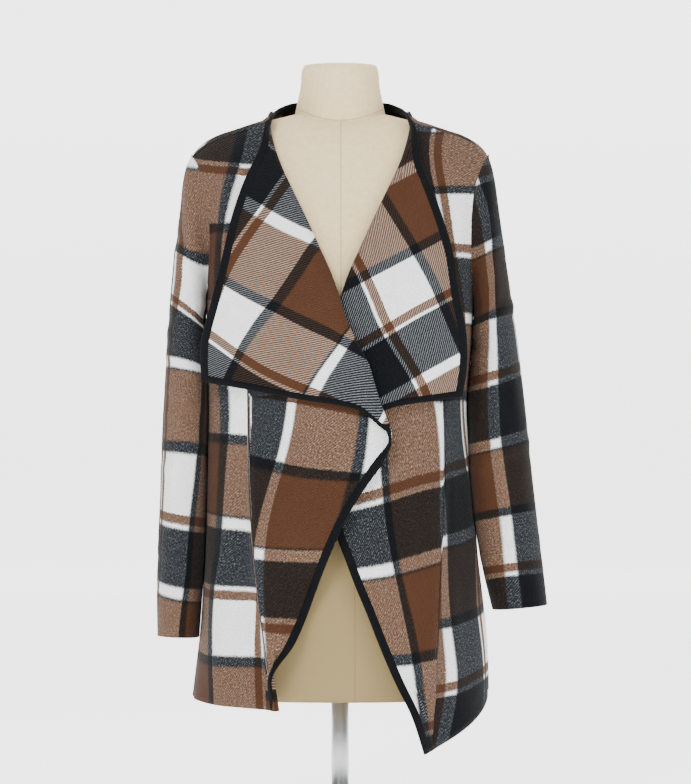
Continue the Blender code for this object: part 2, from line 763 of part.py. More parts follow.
def front_cells(grid, turn_row, roll_end):
    """Cells of the cloth and of its binding on a front's grid."""
    rows, columns = grid.shape[0] - 1, grid.shape[1] - 1
    row = np.arange(rows)[:, None]
    column = np.arange(columns)[None, :]
    gap_column = BODY_COLUMNS + ROLL_ANGLES.index(ROLL_GAP_START)
    exists = (column < roll_end) | (row >= turn_row)
    low_edge = (row < turn_row + 1) & (column > gap_column)
    low_gap = (row == turn_row + 1) & (column >= gap_column)
    low_gap |= (row < turn_row + 1) & (column == gap_column)
    outer = column == columns - 1
    outer_gap = (column == columns - 2) & (row > turn_row + 1)
    low_gap &= column < columns - 1
    binding = exists & (low_edge | outer)
    cloth = exists & ~binding & ~low_gap & ~outer_gap
    return cloth, binding


def mirrored(points):
    """A run of points on the wearer's right, carried on through the centre to the left."""
    return np.concatenate([points, (points * (-1.0, 1.0, 1.0))[-2::-1]])


def neck_edge_points(ends, count):
    """Neck edge, its upward direction and the cloth below it, from right seam to left seam."""
    (right_point, right_up), (left_point, left_up) = ends
    edge = mirrored(np.array([(-row.x, row.y, row.z) for row in NECK_EDGE]))
    up = mirrored(np.array([(row.lean_in, -row.lean_forward, 1.0) for row in NECK_EDGE]))
    base = mirrored(np.array([(-row.base_x, row.base_y, row.base_z) for row in NECK_EDGE]))
    seam_base = np.array(SEAM_END_BASE)
    edge = np.concatenate([[right_point], edge, [left_point]])
    up = np.concatenate([[right_up], unit(up), [left_up]])
    base = np.concatenate([[seam_base * (-1.0, 1.0, 1.0)], base, [seam_base]])
    run = np.concatenate([[0.0], np.cumsum(np.linalg.norm(np.diff(edge, axis=0), axis=1))])
    where = np.linspace(0, run[-1], count)
    columns = [[smooth_curve(run, points[:, k])(where) for k in range(3)]
               for points in (edge, up, base)]
    edge, up, base = (np.stack(column, axis=1) for column in columns)
    return edge, unit(up), base


def back_grid(neck_edge, neck_base):
    """Grid of the back: columns from the right side seam to the left, rows from hem to top."""
    shoulder = BACK_SHOULDER_COLUMNS
    neck = BACK_NECK_COLUMNS
    columns = 2 * (shoulder + neck)
    angle_low = np.linspace(0, math.pi, columns + 1)
    arm_top = armhole_x(math.degrees(SEAM_FORWARD))
    shoulder_x = np.linspace(arm_top, BACK_SEAM_INNER_X, shoulder + 1)[:-1]
    neck_x = np.linspace(BACK_SEAM_INNER_X, 0, neck + 1)
    top_x = np.concatenate([-shoulder_x, -neck_x, neck_x[-2::-1], shoulder_x[::-1]])
    side = np.where(np.arange(columns + 1) <= columns // 2, -1, 1)

    lower_share = np.linspace(0, 1, BACK_LOWER_ROWS + 1)
    side_hem = np.where(side < 0, RIGHT_FRONT.side_hem, LEFT_FRONT.side_hem)
    hem = side_hem + (BACK_HEM_Z - side_hem) * np.sin(angle_low)
    z_low = hem[None, :] + (BUST_Z - hem)[None, :] * lower_share[:, None]
    half_low = np.where(side[None, :] < 0, half_right(z_low), half_left(z_low))
    x_low = -half_low * power_wave(np.cos(angle_low), BODY_POWER)[None, :]
    y_low = depth_back(z_low) * power_wave(np.sin(angle_low), BODY_POWER)[None, :]
    lower = np.stack([x_low, y_low + SEAM_GAP / 2, z_low], axis=-1)

    # Above the bust the shoulder columns run over the shoulder line to the seam, and the neck
    # columns stop one row earlier at the foot of the neck edge
    angles = np.asarray(BACK_UPPER_ANGLES[1:], dtype=float)
    inner = np.abs(top_x) < BACK_SEAM_INNER_X - 0.5
    top_x[inner] = neck_base[:, 0]
    ahead = neck_base[:, 1] < 0
    most = np.where(ahead, depth_front(BUST_Z), depth_back(BUST_Z))
    power = np.where(ahead, SHOULDER_POWER_FRONT, SHOULDER_POWER_BACK)
    share = np.abs(neck_base[:, 1]) / (most * side_share(top_x[inner], half_right(ARMHOLE_TOP_Z)))
    top_angle = np.full(columns + 1, float(BACK_UPPER_ANGLES[-1]))
    top_angle[inner] = np.degrees(np.arcsin(share ** (power / 2))) * np.where(ahead, 1, -1)
    way = np.repeat(((angles + 90.0) / (angles[-1] + 90.0))[:, None], columns + 1, axis=1)
    way[:, inner] = np.minimum((angles + 90.0) / (angles[-2] + 90.0), 1.0)[:, None]
    turn = -90.0 + (top_angle[None, :] + 90.0) * way
    half_top = half_right(ARMHOLE_TOP_Z)
    ratio = top_x / half_top
    angle_top = np.arccos(-np.sign(ratio) * np.abs(ratio) ** (BODY_POWER / 2))
    arm_now = armhole_x(np.abs(angles))
    mix = soft_step(way)
    mixed = angle_low[None, :] * (1 - mix) + angle_top[None, :] * mix
    z_guess = BUST_Z + MEAN_SHOULDER_RISE * np.cos(np.radians(np.abs(turn)))
    half_up = np.where(side[None, :] < 0, half_right(z_guess), half_left(z_guess))
    cos_mixed = -power_wave(np.cos(mixed), BODY_POWER)
    x_up = half_up * cos_mixed
    edge_scale = arm_now[:, None] / np.maximum(np.abs(x_up[:, [0, -1]]), 1.0)
    scale = np.where(side[None, :] < 0, edge_scale[:, :1], edge_scale[:, 1:])
    pull = np.abs(cos_mixed) ** SIDE_PULL_POWER
    x_up = x_up * (1 + (scale - 1) * pull)
    x_up[:, 0] = -arm_now
    x_up[:, -1] = arm_now

    radians = np.radians(np.abs(turn))
    is_front = turn > 0
    power = np.where(is_front, SHOULDER_POWER_FRONT, SHOULDER_POWER_BACK)
    ridge = np.where(is_front, ridge_front(np.abs(x_up)), ridge_back(np.abs(x_up)))
    cosine = np.cos(radians) ** (2.0 / power)
    z_up = BUST_Z + (ridge - BUST_Z) * cosine
    y_back = back_depth(x_up, z_up)
    y_front = -front_depth(x_up, z_up)
    y_up = np.where(is_front, y_front, y_back)
    upper = np.stack([x_up, y_up + SEAM_GAP / 2, z_up], axis=-1)

    fade = np.clip((way[:, inner] - NECK_FADE_START) / (1 - NECK_FADE_START), 0, 1) ** 2
    upper[:, inner] += (neck_base - upper[-2, inner])[None] * fade[..., None]
    upper[-1, inner] = neck_edge
    return np.concatenate([lower, upper])


def armhole_loop(side, angles):
    """Edge of the armhole by angle from the shoulder line, front positive, and its normals."""
    turned = np.radians(np.abs(angles))
    power = np.where(angles > 0, SHOULDER_POWER_FRONT, SHOULDER_POWER_BACK)
    x = armhole_x(np.abs(angles))
    z = BUST_Z + (ridge_front(x) - BUST_Z) * np.cos(turned) ** (2.0 / power)

    def surface(distance, height):
        signed = side * distance
        y = np.where(angles > 0, -front_depth(signed, height), back_depth(signed, height))
        return np.stack([signed, y, height], axis=-1)

    edge = surface(x, z)
    across = surface(x + 1.0, z) - surface(x - 1.0, z)
    along = surface(x, z + 1.0) - surface(x, z - 1.0)
    normal = unit(np.cross(across, along))
    facing = np.stack([side * np.ones_like(x), np.sign(edge[:, 1]), 0.5 * np.ones_like(x)], axis=-1)
    normal = normal * np.sign(np.sum(normal * facing, axis=1, keepdims=True))
    armpit = np.abs(angles) > 85.0
    normal[armpit] = (side, 0.0, 0.0)
    return edge, normal


def sleeve_grid(side, rings):
    """Grid of a sleeve: rows from the armhole to the cuff, columns round the tube."""
    angles = np.array(SLEEVE_ANGLES, dtype=float)
    edge, edge_normal = armhole_loop(side, angles)
    ring = np.concatenate([edge[-1:], edge, edge[:1]])
    tangent = row_directions(ring)[1:-1]
    away = unit(np.cross(tangent, edge_normal))
    heading = np.array([side * ARMHOLE_CENTRE_X, 0.0, ARMHOLE_CENTRE_Z]) - edge
    away = away * np.sign(np.sum(away * heading, axis=1, keepdims=True))
    loop = edge + away * armhole_gap(np.abs(angles))[:, None]
    round_angle = np.radians(2.0 * angles)
    way = np.linspace(0, 1, SLEEVE_ROWS + 1) ** SLEEVE_ROW_POWER
    keys = np.linspace(0, 1, len(rings))
    outer_x = column_curve_at(rings, keys, "outer_x", way)
    outer_z = column_curve_at(rings, keys, "outer_z", way)
    inner_x = column_curve_at(rings, keys, "inner_x", way)
    inner_z = column_curve_at(rings, keys, "inner_z", way)
    half_depth = column_curve_at(rings, keys, "half_depth", way)
    centre_x = (outer_x + inner_x) / 2
    centre_z = (outer_z + inner_z) / 2
    cosine = power_wave(np.cos(round_angle), SLEEVE_POWER)
    sine = power_wave(np.sin(round_angle), SLEEVE_POWER)
    x = centre_x[:, None] + ((outer_x - inner_x) / 2)[:, None] * cosine[None, :]
    z = centre_z[:, None] + ((outer_z - inner_z) / 2)[:, None] * cosine[None, :]
    y = -half_depth[:, None] * sine[None, :]
    tube = np.stack([side * x, y, z], axis=-1)
    fade = (np.clip(1 - way / SLEEVE_HEAD_SHARE, 0, 1) ** 2)[:, None, None]
    return tube + (loop - tube[0])[None] * fade


def section_angle(out, half):
    """Angle round a section, 0 at the side and a quarter turn on the centre line."""
    ratio = np.clip(out / half, -1.0, 1.0)
    return np.arccos(np.sign(ratio) * np.abs(ratio) ** (BODY_POWER / 2))


def column_curve_at(rows, keys, name, where):
    """Smooth curve of one named column against evenly spaced keys, at given places."""
    return smooth_curve(keys, [getattr(row, name) for row in rows])(where)


def form_grid():
    """Grid of the torso: rows from the foot to the shoulder line, columns all round."""
    side = column_curve(FORM, "z", "side")
    front = column_curve(FORM, "z", "front")
    back = column_curve(FORM, "z", "back")
    angle = np.linspace(0, 2 * math.pi, FORM_COLUMNS, endpoint=False)
    cosine = power_wave(np.cos(angle), BODY_POWER)[None, :]
    sine = power_wave(np.sin(angle), BODY_POWER)[None, :]
    low_z = np.linspace(FORM_FOOT_Z, BUST_Z, FORM_LOWER_ROWS + 1)[:-1, None]
    depth = np.where(sine < 0, front(low_z), back(low_z))
    lower = np.stack(np.broadcast_arrays(side(low_z) * cosine, depth * sine, low_z), axis=-1)

    turn = np.radians(np.asarray(FORM_UPPER_ANGLES, dtype=float))[:, None]
    ridge_guess = BUST_Z + MEAN_SHOULDER_RISE * np.cos(turn)
    x = side(ridge_guess) * cosine
    ridge = ridge_front(np.abs(x)) - FORM_CLEARANCE
    rise_front = np.cos(turn)
    rise_back = np.cos(turn) ** (2.0 / SHOULDER_POWER_BACK)
    swell_front = np.sin(turn)
    swell_back = np.sin(turn) ** (2.0 / SHOULDER_POWER_BACK)
    facing_front = sine < 0
    # Near the side the two faces share one rise, so that the loop closes smoothly
    mix = soft_step(np.abs(sine) * FORM_SIDE_BLEND)
    rise = np.where(facing_front, rise_front, rise_front + (rise_back - rise_front) * mix)
    z = BUST_Z + (ridge - BUST_Z) * rise
    swell = np.where(facing_front, front(z) * swell_front, back(z) * swell_back)
    upper = np.stack(np.broadcast_arrays(x, swell * sine, z), axis=-1)
    return np.concatenate([lower, upper])


def loft_solid(grid):
    """Closed solid from a stack of closed loops, with a fan at each end."""
    rows, columns = grid.shape[:2]
    vertices = grid.reshape(-1, 3).tolist()
    faces = []
    for row in range(rows - 1):
        for column in range(columns):
            following = (column + 1) % columns
            low = row * columns
            high = low + columns
            faces.append((low + column, low + following, high + following, high + column))
    foot = len(vertices)
    vertices.append(grid[0].mean(axis=0).tolist())
    head = len(vertices)
    vertices.append(grid[-1].mean(axis=0).tolist())
    top = (rows - 1) * columns
    for column in range(columns):
        following = (column + 1) % columns
        faces.append((foot, following, column))
        faces.append((head, top + column, top + following))
    return np.array(vertices), faces


def ridge_solid(grid):
    """Closed solid from a stack of loops whose last loop is closed across its narrow way."""
    rows, columns = grid.shape[:2]
    vertices, faces = loft_solid(grid)
    faces = [face for face in faces if len(vertices) - 1 not in face]
    top = (rows - 1) * columns
    half = columns // 2
    for step in range(half):
        near = top + step
        near_next = near + 1
        far_next = top + (columns - step - 1) % columns
        far = top + (columns - step) % columns
        if step == 0:
            faces.append((near, near_next, far_next))
        elif step == half - 1:
            faces.append((near, near_next, far))
        else:
            faces.append((near, near_next, far_next, far))
    return vertices[:-1], faces


class NeckRing(NamedTuple):
    """A section of the form's neck."""
    z: float
    side: float
    depth: float
    centre_y: float


NECK = (
    NeckRing(z=850, side=58, depth=46, centre_y=14),
    NeckRing(z=895, side=58, depth=52, centre_y=10),
    NeckRing(z=915, side=54, depth=52, centre_y=6),
    NeckRing(z=935, side=50, depth=50, centre_y=2),
    NeckRing(z=955, side=48, depth=49, centre_y=0),
    NeckRing(z=960, side=46, depth=47, centre_y=0),
)


def neck_grid():
    """Loops of the form's neck."""
    angle = np.linspace(0, 2 * math.pi, NECK_COLUMNS, endpoint=False)
    loops = []
    for ring in NECK:
        x = ring.side * np.cos(angle)
        y = ring.centre_y + ring.depth * np.sin(angle)
        loops.append(np.stack([x, y, np.full(NECK_COLUMNS, ring.z)], axis=-1))
    return np.array(loops)


def build_form(material):
    """Torso with its neck joined on."""
    vertices, faces = ridge_solid(form_grid())
    torso = add_object("form_torso", vertices, faces, material)
    neck_vertices, neck_faces = loft_solid(neck_grid())
    neck = add_object("neck_blank", neck_vertices, neck_faces, material)
    neck.hide_render = True
    neck.display_type = "WIRE"
    join = torso.modifiers.new("neck", "BOOLEAN")
    join.operation = "UNION"
    join.object = neck
    return torso


def build_stand(metal, lacquer):
    """Post under the torso and the round base."""
    angle = np.linspace(0, 2 * math.pi, POST_SIDES, endpoint=False)
    ring = np.stack([POST_RADIUS * np.cos(angle), POST_RADIUS * np.sin(angle)], axis=-1)
    heights = (BASE_HEIGHT + TOUCH_GAP, FORM_FOOT_Z - TOUCH_GAP)
    grid = np.array([np.column_stack([ring, np.full(POST_SIDES, z)]) for z in heights])
    add_object("stand_post", *loft_solid(grid), metal)

    angle = np.linspace(0, 2 * math.pi, BASE_SIDES, endpoint=False)
    profile = ((BASE_RADIUS, 0.0), (BASE_RADIUS, BASE_HEIGHT - BASE_EDGE),
               (BASE_RADIUS - BASE_EDGE, BASE_HEIGHT))
    loops = []
    for radius, z in profile:
        loops.append(np.stack([radius * np.cos(angle), radius * np.sin(angle),
                               np.full(BASE_SIDES, z)], axis=-1))
    add_object("stand_base", *loft_solid(np.array(loops)), lacquer)


def build_front(front, cloth, knit):
    """A front panel with its lapel, and the binding along its edge."""
    grid, turn_row, roll_end = front_grid(front)
    cloth_cells, binding_cells = front_cells(grid, turn_row, roll_end)
    # The lapel's normals come from the rows that have a lapel
    normals = np.zeros_like(grid)
    normals[:, :roll_end + 1] = grid_normals(grid[:, :roll_end + 1]) * front.side
    with_lapel = grid_normals(grid[turn_row:]) * front.side
    normals[turn_row:, BODY_COLUMNS + 1:] = with_lapel[:, BODY_COLUMNS + 1:]
    flip = front.side > 0
    cloth_wall = np.full(grid.shape[:2], CLOTH_WALL)
    cloth_wall[:, 0] = SEAM_WALL
    binding_wall = binding_walls(binding_cells, cloth_cells)
    for name, cells, wall, material in (
            (front.name, cloth_cells, cloth_wall, cloth),
            (front.name.replace("front", "binding_front"), binding_cells, binding_wall, knit)):
        vertices, faces = wall_mesh(grid, normals, cells, wall)
        faces = split_quads(vertices, faces)
        if not flip:
            faces = faces[:, ::-1]
        add_object(name, vertices, faces, material)
    inner_edge = grid[-1, -2] + (0.0, SEAM_GAP, 0.0)
    upward = unit(grid[-1, -1] - grid[-1, -2])
    return inner_edge, upward


def build_back(ends, cloth, knit):
    """The back panel, and the binding round its neck."""
    points, up, base = neck_edge_points(ends, 2 * BACK_NECK_COLUMNS - 1)
    grid = back_grid(points - up * NECK_SEAM_GAP, base)
    normals = -grid_normals(grid)
    cells = np.ones((grid.shape[0] - 1, grid.shape[1] - 1), dtype=bool)
    wall = np.full(grid.shape[:2], CLOTH_WALL)
    wall[:, [0, -1]] = SEAM_WALL
    wall[-1] = SEAM_WALL
    vertices, faces = wall_mesh(grid, normals, cells, wall)
    add_object("back_panel", vertices, split_quads(vertices, faces)[:, ::-1], cloth)

    strip = np.stack([points, points + up * BINDING_WIDTH])
    normals = -grid_normals(strip)
    cells = np.ones((1, len(points) - 1), dtype=bool)
    wall = np.array([[BINDING_SEAM_WALL], [BINDING_WALL]])
    vertices, faces = wall_mesh(strip, normals, cells, wall)
    add_object("binding_neck", vertices, split_quads(vertices, faces)[:, ::-1], knit)


def build_sleeve(name, side, rings, cloth):
    """One sleeve, open at the armhole and at the cuff."""
    grid = sleeve_grid(side, rings)
    normals = grid_normals(grid, closed=True) * -side
    cells = np.ones((grid.shape[0] - 1, grid.shape[1]), dtype=bool)
    wall = np.full(grid.shape[:2], CLOTH_WALL)
    wall[0] = SEAM_WALL
    vertices, faces = wall_mesh(grid, normals, cells, wall, closed=True)
    faces = split_quads(vertices, faces)
    if side > 0:
        faces = faces[:, ::-1]
    add_object(name, vertices, faces, cloth)


def main():
    """Build every piece."""
    for old in list(bpy.data.objects):
        bpy.data.objects.remove(old)
    cloth = make_material("brushed plaid twill", (0.16, 0.10, 0.07), 0.95)
    knit = make_material("black rib binding", (0.009, 0.010, 0.012), 0.9)
    linen = make_material("beige linen", (0.62, 0.54, 0.43), 0.9)
    steel = make_material("brushed steel", (0.55, 0.55, 0.56), 0.35, 1.0)
    lacquer = make_material("black lacquer", (0.02, 0.02, 0.02), 0.4)

    build_form(linen)
    build_stand(steel, lacquer)
    ends = [build_front(front, cloth, knit) for front in (RIGHT_FRONT, LEFT_FRONT)]
    build_back(ends, cloth, knit)
    build_sleeve("sleeve_right", -1, RIGHT_SLEEVE, cloth)
    build_sleeve("sleeve_left", 1, LEFT_SLEEVE, cloth)


main()
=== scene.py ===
"""Looks of an open waterfall cardigan on a limbless dress form.

Lengths are in millimetres until a mesh is made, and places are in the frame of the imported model:
+Z up, the front facing -Y, the wearer's right at -X, the origin under the middle of the base.

Each garment piece is one smooth surface: a coarse grid of points worked out from the garment's
sizes, made fine by a smooth curve through its rows and columns, with creases pressed into it
along its normals. The plaid is laid on by a map from the flat cloth that is led by the
crossings of its bands. "Out" is a distance from the centre line towards the wearer's own side.
"""

import logging
import math
from dataclasses import dataclass
from enum import Enum
from typing import Callable, NamedTuple, Sequence

import bpy
import numpy as np
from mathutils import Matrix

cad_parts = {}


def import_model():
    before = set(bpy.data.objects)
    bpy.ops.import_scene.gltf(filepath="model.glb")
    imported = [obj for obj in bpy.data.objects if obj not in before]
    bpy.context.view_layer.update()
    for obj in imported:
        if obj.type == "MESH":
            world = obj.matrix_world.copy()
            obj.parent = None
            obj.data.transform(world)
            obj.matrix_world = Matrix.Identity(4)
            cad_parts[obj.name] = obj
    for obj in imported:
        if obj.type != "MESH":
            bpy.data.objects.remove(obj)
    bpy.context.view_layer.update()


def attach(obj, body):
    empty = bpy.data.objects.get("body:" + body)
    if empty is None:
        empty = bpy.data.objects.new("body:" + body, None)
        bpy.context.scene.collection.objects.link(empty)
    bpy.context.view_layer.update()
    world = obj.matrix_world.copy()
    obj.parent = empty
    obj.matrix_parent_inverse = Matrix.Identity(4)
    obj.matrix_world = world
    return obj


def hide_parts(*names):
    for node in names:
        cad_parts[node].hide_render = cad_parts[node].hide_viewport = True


Array = np.ndarray
Curve = Callable[[Array], Array]

LOG = logging.getLogger("waterfall cardigan")
MM = 0.001
ROOT = "root"

# The photograph's view: pixels of its 691 x 784 frame, and the millimetres in one of them
PIXEL = 1.25
CENTRE_PIXEL_X = 340.0
FOOT_PIXEL_Y = 701.0
PICTURE_HEIGHT = 784

# Cloth, binding and seams; a seam lies in a dip of the cloth
CLOTH_WALL = 1.6
BINDING_WALL = 3.4
BINDING_WIDTH = 8.0
BINDING_GAP = 0.4
SEAM_DIP = 1.1
SEAM_DIP_WIDTH = 3.0
ARMHOLE_DIP = 1.2
# A fold's line moves sideways by this power of the way down it
FOLD_DRIFT = 2
# How far down its line a fold runs on below its end, as a share of its length from the top
FOLD_RUN_ON = 1.2
# How much wider than the solid the binding is drawn, as in the photo
BINDING_SWELL = 1.32
# Distance from the middle at which the plaid across a front is measured, beside the main fold
PLAID_OUT = 148.0
# Height below which the fold parts the plaid of the side from that of the centre
PLAID_TURN_Z = 580.0
PLAID_TURN_HEIGHT = 40.0
# The tuck under a main fold: its start above the fold, how fast it grows down the fold, where it
# has come back across the fold, and how fast the cloth is led from one of its sides to the other
TUCK_ABOVE = 40.0
TUCK_GROWTH = 5.0
TUCK_RETURN = 0.8
TUCK_MIX = 1.5
# Fine columns over which a lapel's creases fade towards its edge, and over which the plaid of
# the side gives way to that of the centre where the tuck starts
LAPEL_EDGE_COLUMNS = 12.0
PLAID_TURN_COLUMNS = 2.0
# Rows that lie closer than this many millimetres count as this far apart
LEAST_STEP = 0.02
ROLL_RADIUS = 4.5
LAYER_LIFT = 18.0

# Heights of the garment
BUST_Z = 655.0
ARMHOLE_TOP_Z = 845.0
MEAN_SHOULDER_RISE = 215.0
BACK_HEM_Z = 178.0
FORM_FOOT_Z = 160.0
BACK_SEAM_INNER_X = 96.0
FRONT_SEAM_INNER_X = 94.0

# Section shapes: powers of the rounded outlines seen from above
BODY_POWER = 2.4
SLEEVE_POWER = 2.3
SHOULDER_POWER_FRONT = 2.0
SHOULDER_POWER_BACK = 2.8
SIDE_PULL_POWER = 3
SEAM_FORWARD = math.radians(14)

# The lapel and its roll
EDGE_UNROLL_HEIGHT = 42.0
TURN_ROW_POWER = 1.3
EDGE_FLAT_ANGLE = 8.0
STAND_WIDTH = 14.0
STAND_LOW_Z = 815.0
STAND_RISE = 45.0
LAPEL_SPREAD = 32.0
LAPEL_PUFF = 1.5
LAPEL_NEAR = 0.2
LOWER_EDGE_POWER = 4
PROBE = 2.0

# Coarse grid sizes
ROWS_BELOW_TURN = 11
ROWS_TURN_TO_BUST = 6
FRONT_UPPER_ANGLES = (90, 82, 73, 63, 53, 43, 34, 26, 19, 14)
SIDE_COLUMNS = 5
FOLD_COLUMNS = (9.0, 3.5, -1.5, -6.0, -13.0)
FOLD_ROOM = 16.0
FOLD_EDGE_ROOM = 2.0
FOLD_LEAST_ROOM = 0.1
CENTRE_COLUMNS = 5
BODY_COLUMNS = SIDE_COLUMNS + len(FOLD_COLUMNS) - 1 + CENTRE_COLUMNS
ROLL_ANGLES = (0.0, 0.2, 0.41, 0.435, 0.62, 0.81, 1.0)
STRIP_COLUMN = BODY_COLUMNS + 3
LAPEL_COLUMNS = 7
BACK_SHOULDER_COLUMNS = 7
BACK_NECK_COLUMNS = 8
BACK_LOWER_ROWS = 11
# Fine rows above the bust that the back's creases reach
BACK_CREASE_ROWS = 24
NECK_FADE_START = 0.55
BACK_UPPER_ANGLES = (-90, -87, -82, -75, -66, -55, -43, -32, -21, -11, -3, 4, 14)
SLEEVE_ROWS = 15
SLEEVE_ROW_POWER = 1.25
SLEEVE_HEAD_SHARE = 0.3
SLEEVE_ANGLES = (-90, -82, -75, -66, -55, -43, -32, -21, -11, -3, 4, 14, 26, 34, 43, 53, 63, 73, 82)
ARMHOLE_CENTRE = (185.0, 0.0, 755.0)
# Steps either way for the slopes of the body at the armhole, the angle from which its edge faces
# straight sideways, and how much the rest of it faces upwards
SLOPE_STEP = 1.0
UNDERARM_ANGLE = 85.0
FACING_RISE = 0.5


def table(kind: type, *rows: tuple) -> tuple:
    """Rows of a table whose columns bear the names of kind's fields."""
    return tuple(kind(*row) for row in rows)


class Girth(NamedTuple):
    """Section of the hanging cloth at one height."""

    z: float
    right: float
    left: float
    front: float
    back: float


BODY = table(Girth,
    (95, 187, 190, 128, 114), (170, 185, 187, 124, 112), (236, 177, 184, 119, 107),
    (300, 172, 177, 114, 103), (400, 168, 165.5, 109, 96), (470, 167, 160.6, 109, 93),
    (540, 166, 160, 112, 93), (600, 167, 165, 116, 97), (655, 168, 168, 118, 100),
    (717, 171, 171, 118, 100), (769, 179, 179, 118, 100), (812, 190, 190, 118, 100),
    (845, 200, 200, 118, 100), (980, 202, 202, 118, 100),
)


class Ridge(NamedTuple):
    """Height of the shoulder line, and how much higher the cloth stands behind the neck."""

    x: float
    z: float
    behind: float


RIDGE = table(Ridge,
    (0, 906, 42), (40, 903, 40), (62, 899, 26), (78, 895, 8), (87, 893, 1), (95, 891, 0),
    (132, 879, 0), (160, 869, 0), (176, 859, 0), (190, 843, 0), (204, 820, 0),
)


class Armhole(NamedTuple):
    """Distance of the armhole edge from the centre, by angle from the shoulder line."""

    angle: float
    x: float


ARMHOLE = table(Armhole,
    (0, 187), (14, 185.5), (30, 178), (43, 170), (56, 165), (68, 163), (80, 165), (90, 168),
)


class Edge(NamedTuple):
    """Point of an outline seen from the front: height, and distance out from the centre."""

    z: float
    out: float


class LowerEdge(NamedTuple):
    """Lower edge of a lapel: share of the way out, and rise above the straight line."""

    share: float
    rise: float


class Fold(NamedTuple):
    """A hanging fold: where it starts and ends, how deep and wide it is, its overhang."""

    top_z: float
    top_out: float
    low_z: float
    low_out: float
    depth: float
    width: float
    overhang: float


class Overlap(NamedTuple):
    """Where one front lies over the other: its limits, and how gently it is lifted to it."""

    outer_out: float
    side_ramp: float
    low_z: float
    low_ramp: float
    top_z: float
    top_ramp: float


OVERLAP = Overlap(outer_out=95, side_ramp=75, low_z=290, low_ramp=70, top_z=740, top_ramp=90)

# A hanging fold is at full depth after one part in this many of its way down. Its crest fades
# inwards over this many fold widths, and it overhangs most this many widths inside its line
FOLD_GROWTH = 2.2
FOLD_CREST_LENGTH = 6.0
FOLD_OVERHANG_AT = 0.6


class RollTurn(NamedTuple):
    """How far the edge has rolled over at one height, in degrees."""

    z: float
    angle: float


NECK_ROLL = table(RollTurn, (835, 180), (860, 125), (884, 50))


class SleeveRing(NamedTuple):
    """A section of a sleeve: outer and inner lines seen from the front, and half its depth."""

    outer_x: float
    outer_z: float
    inner_x: float
    inner_z: float
    half_depth: float


RIGHT_RINGS = table(SleeveRing,
    (188, 842, 169, 656.6, 52), (197, 822, 170.6, 655, 52), (203, 775, 170.4, 645, 52),
    (210, 715, 169.6, 622, 51), (216.5, 645, 169, 588, 50), (221, 566, 168.2, 540, 48),
    (225.5, 480, 169.2, 470, 46), (228, 400, 170.2, 396, 44), (231.5, 320, 173.6, 318, 42),
    (231, 238, 179.5, 236, 41),
)

LEFT_RINGS = table(SleeveRing,
    (188, 842, 169, 656.6, 52), (195, 818, 170.6, 655, 52), (202, 768, 170, 645, 52),
    (211, 705, 168.6, 622, 51), (221, 635, 166.4, 588, 50), (231, 555, 162.4, 540, 48),
    (239.5, 472, 162.6, 470, 46), (248, 396, 168.6, 400, 44), (256, 330, 180, 330, 42),
    (262, 277, 194, 271, 41),
)


class NeckPoint(NamedTuple):
    """Neck edge of the back, the lean of its binding, and the cloth just below the edge."""

    x: float
    y: float
    z: float
    lean_in: float
    lean_forward: float
    base_x: float
    base_y: float
    base_z: float


NECK_EDGE = table(NeckPoint,
    (91, -10, 893.5, 0.6, 0.1, 99, 4, 890), (88, 12, 894, 0.5, 0.1, 97, 20, 889.5),
    (79, 36, 901, 0.35, 0.2, 86, 43, 891), (58, 59, 909, 0.2, 0.3, 63, 64, 894),
    (31, 70, 908, 0.1, 0.35, 33, 75, 893), (0, 73, 907, 0, 0.35, 0, 78, 892),
)
SEAM_END_BASE = (99.0, -8.0, 888.6)


def smooth_curve(keys: Sequence[float], values: Sequence[float]) -> Curve:
    """Make a smooth function through some points.

    The formula is a cubic between each pair of keys, whose slopes at the keys are the mean
    slopes of the points beside them.

    Args:
        keys: Where the values are given, in any order.
        values: The value at each key.

    Returns:
        A function of an array of keys, held at its end values outside them.
    """
    keys = np.asarray(keys, dtype=float)
    values = np.asarray(values, dtype=float)
    order = np.argsort(keys)
    keys = keys[order]
    values = values[order]
    slopes = np.gradient(values, keys)

    def at(key: Array) -> Array:
        """Give the curve's value at each key."""
        key = np.clip(key, keys[0], keys[-1])
        low = np.clip(np.searchsorted(keys, key, side="right") - 1, 0, len(keys) - 2)
        span = keys[low + 1] - keys[low]
        t = (key - keys[low]) / span
        start = (1 + 2 * t) * (1 - t) ** 2 * values[low]
        start_slope = t * (1 - t) ** 2 * span * slopes[low]
        end = t * t * (3 - 2 * t) * values[low + 1]
        end_slope = t * t * (t - 1) * span * slopes[low + 1]
        return start + start_slope + end + end_slope

    return at


def column_curve(rows: Sequence[NamedTuple], key: str, value: str) -> Curve:
    """Make a smooth curve of one named column of a table against another.

    Args:
        rows: The table.
        key: Name of the column the curve runs along.
        value: Name of the column it gives.

    Returns:
        The curve.
    """
    return smooth_curve([getattr(row, key) for row in rows], [getattr(row, value) for row in rows])


def soft_step(t: Array) -> Array:
    """Rise smoothly from 0 to 1 as t goes from 0 to 1."""
    t = np.clip(t, 0.0, 1.0)
    return t * t * (3 - 2 * t)


def unit(vectors: Array) -> Array:
    """Scale vectors to length 1."""
    length = np.linalg.norm(vectors, axis=-1, keepdims=True)
    return vectors / np.maximum(length, 1e-9)


def power_wave(wave: Array, power: float) -> Array:
    """Take the signed root of a sine or cosine that makes a circle a rounded square."""
    return np.sign(wave) * np.abs(wave) ** (2.0 / power)


half_right = column_curve(BODY, "z", "right")
half_left = column_curve(BODY, "z", "left")
depth_front = column_curve(BODY, "z", "front")
depth_back = column_curve(BODY, "z", "back")
ridge_front = column_curve(RIDGE, "x", "z")
neck_rise = column_curve(RIDGE, "x", "behind")
armhole_x = column_curve(ARMHOLE, "angle", "x")
neck_roll = column_curve(NECK_ROLL, "z", "angle")


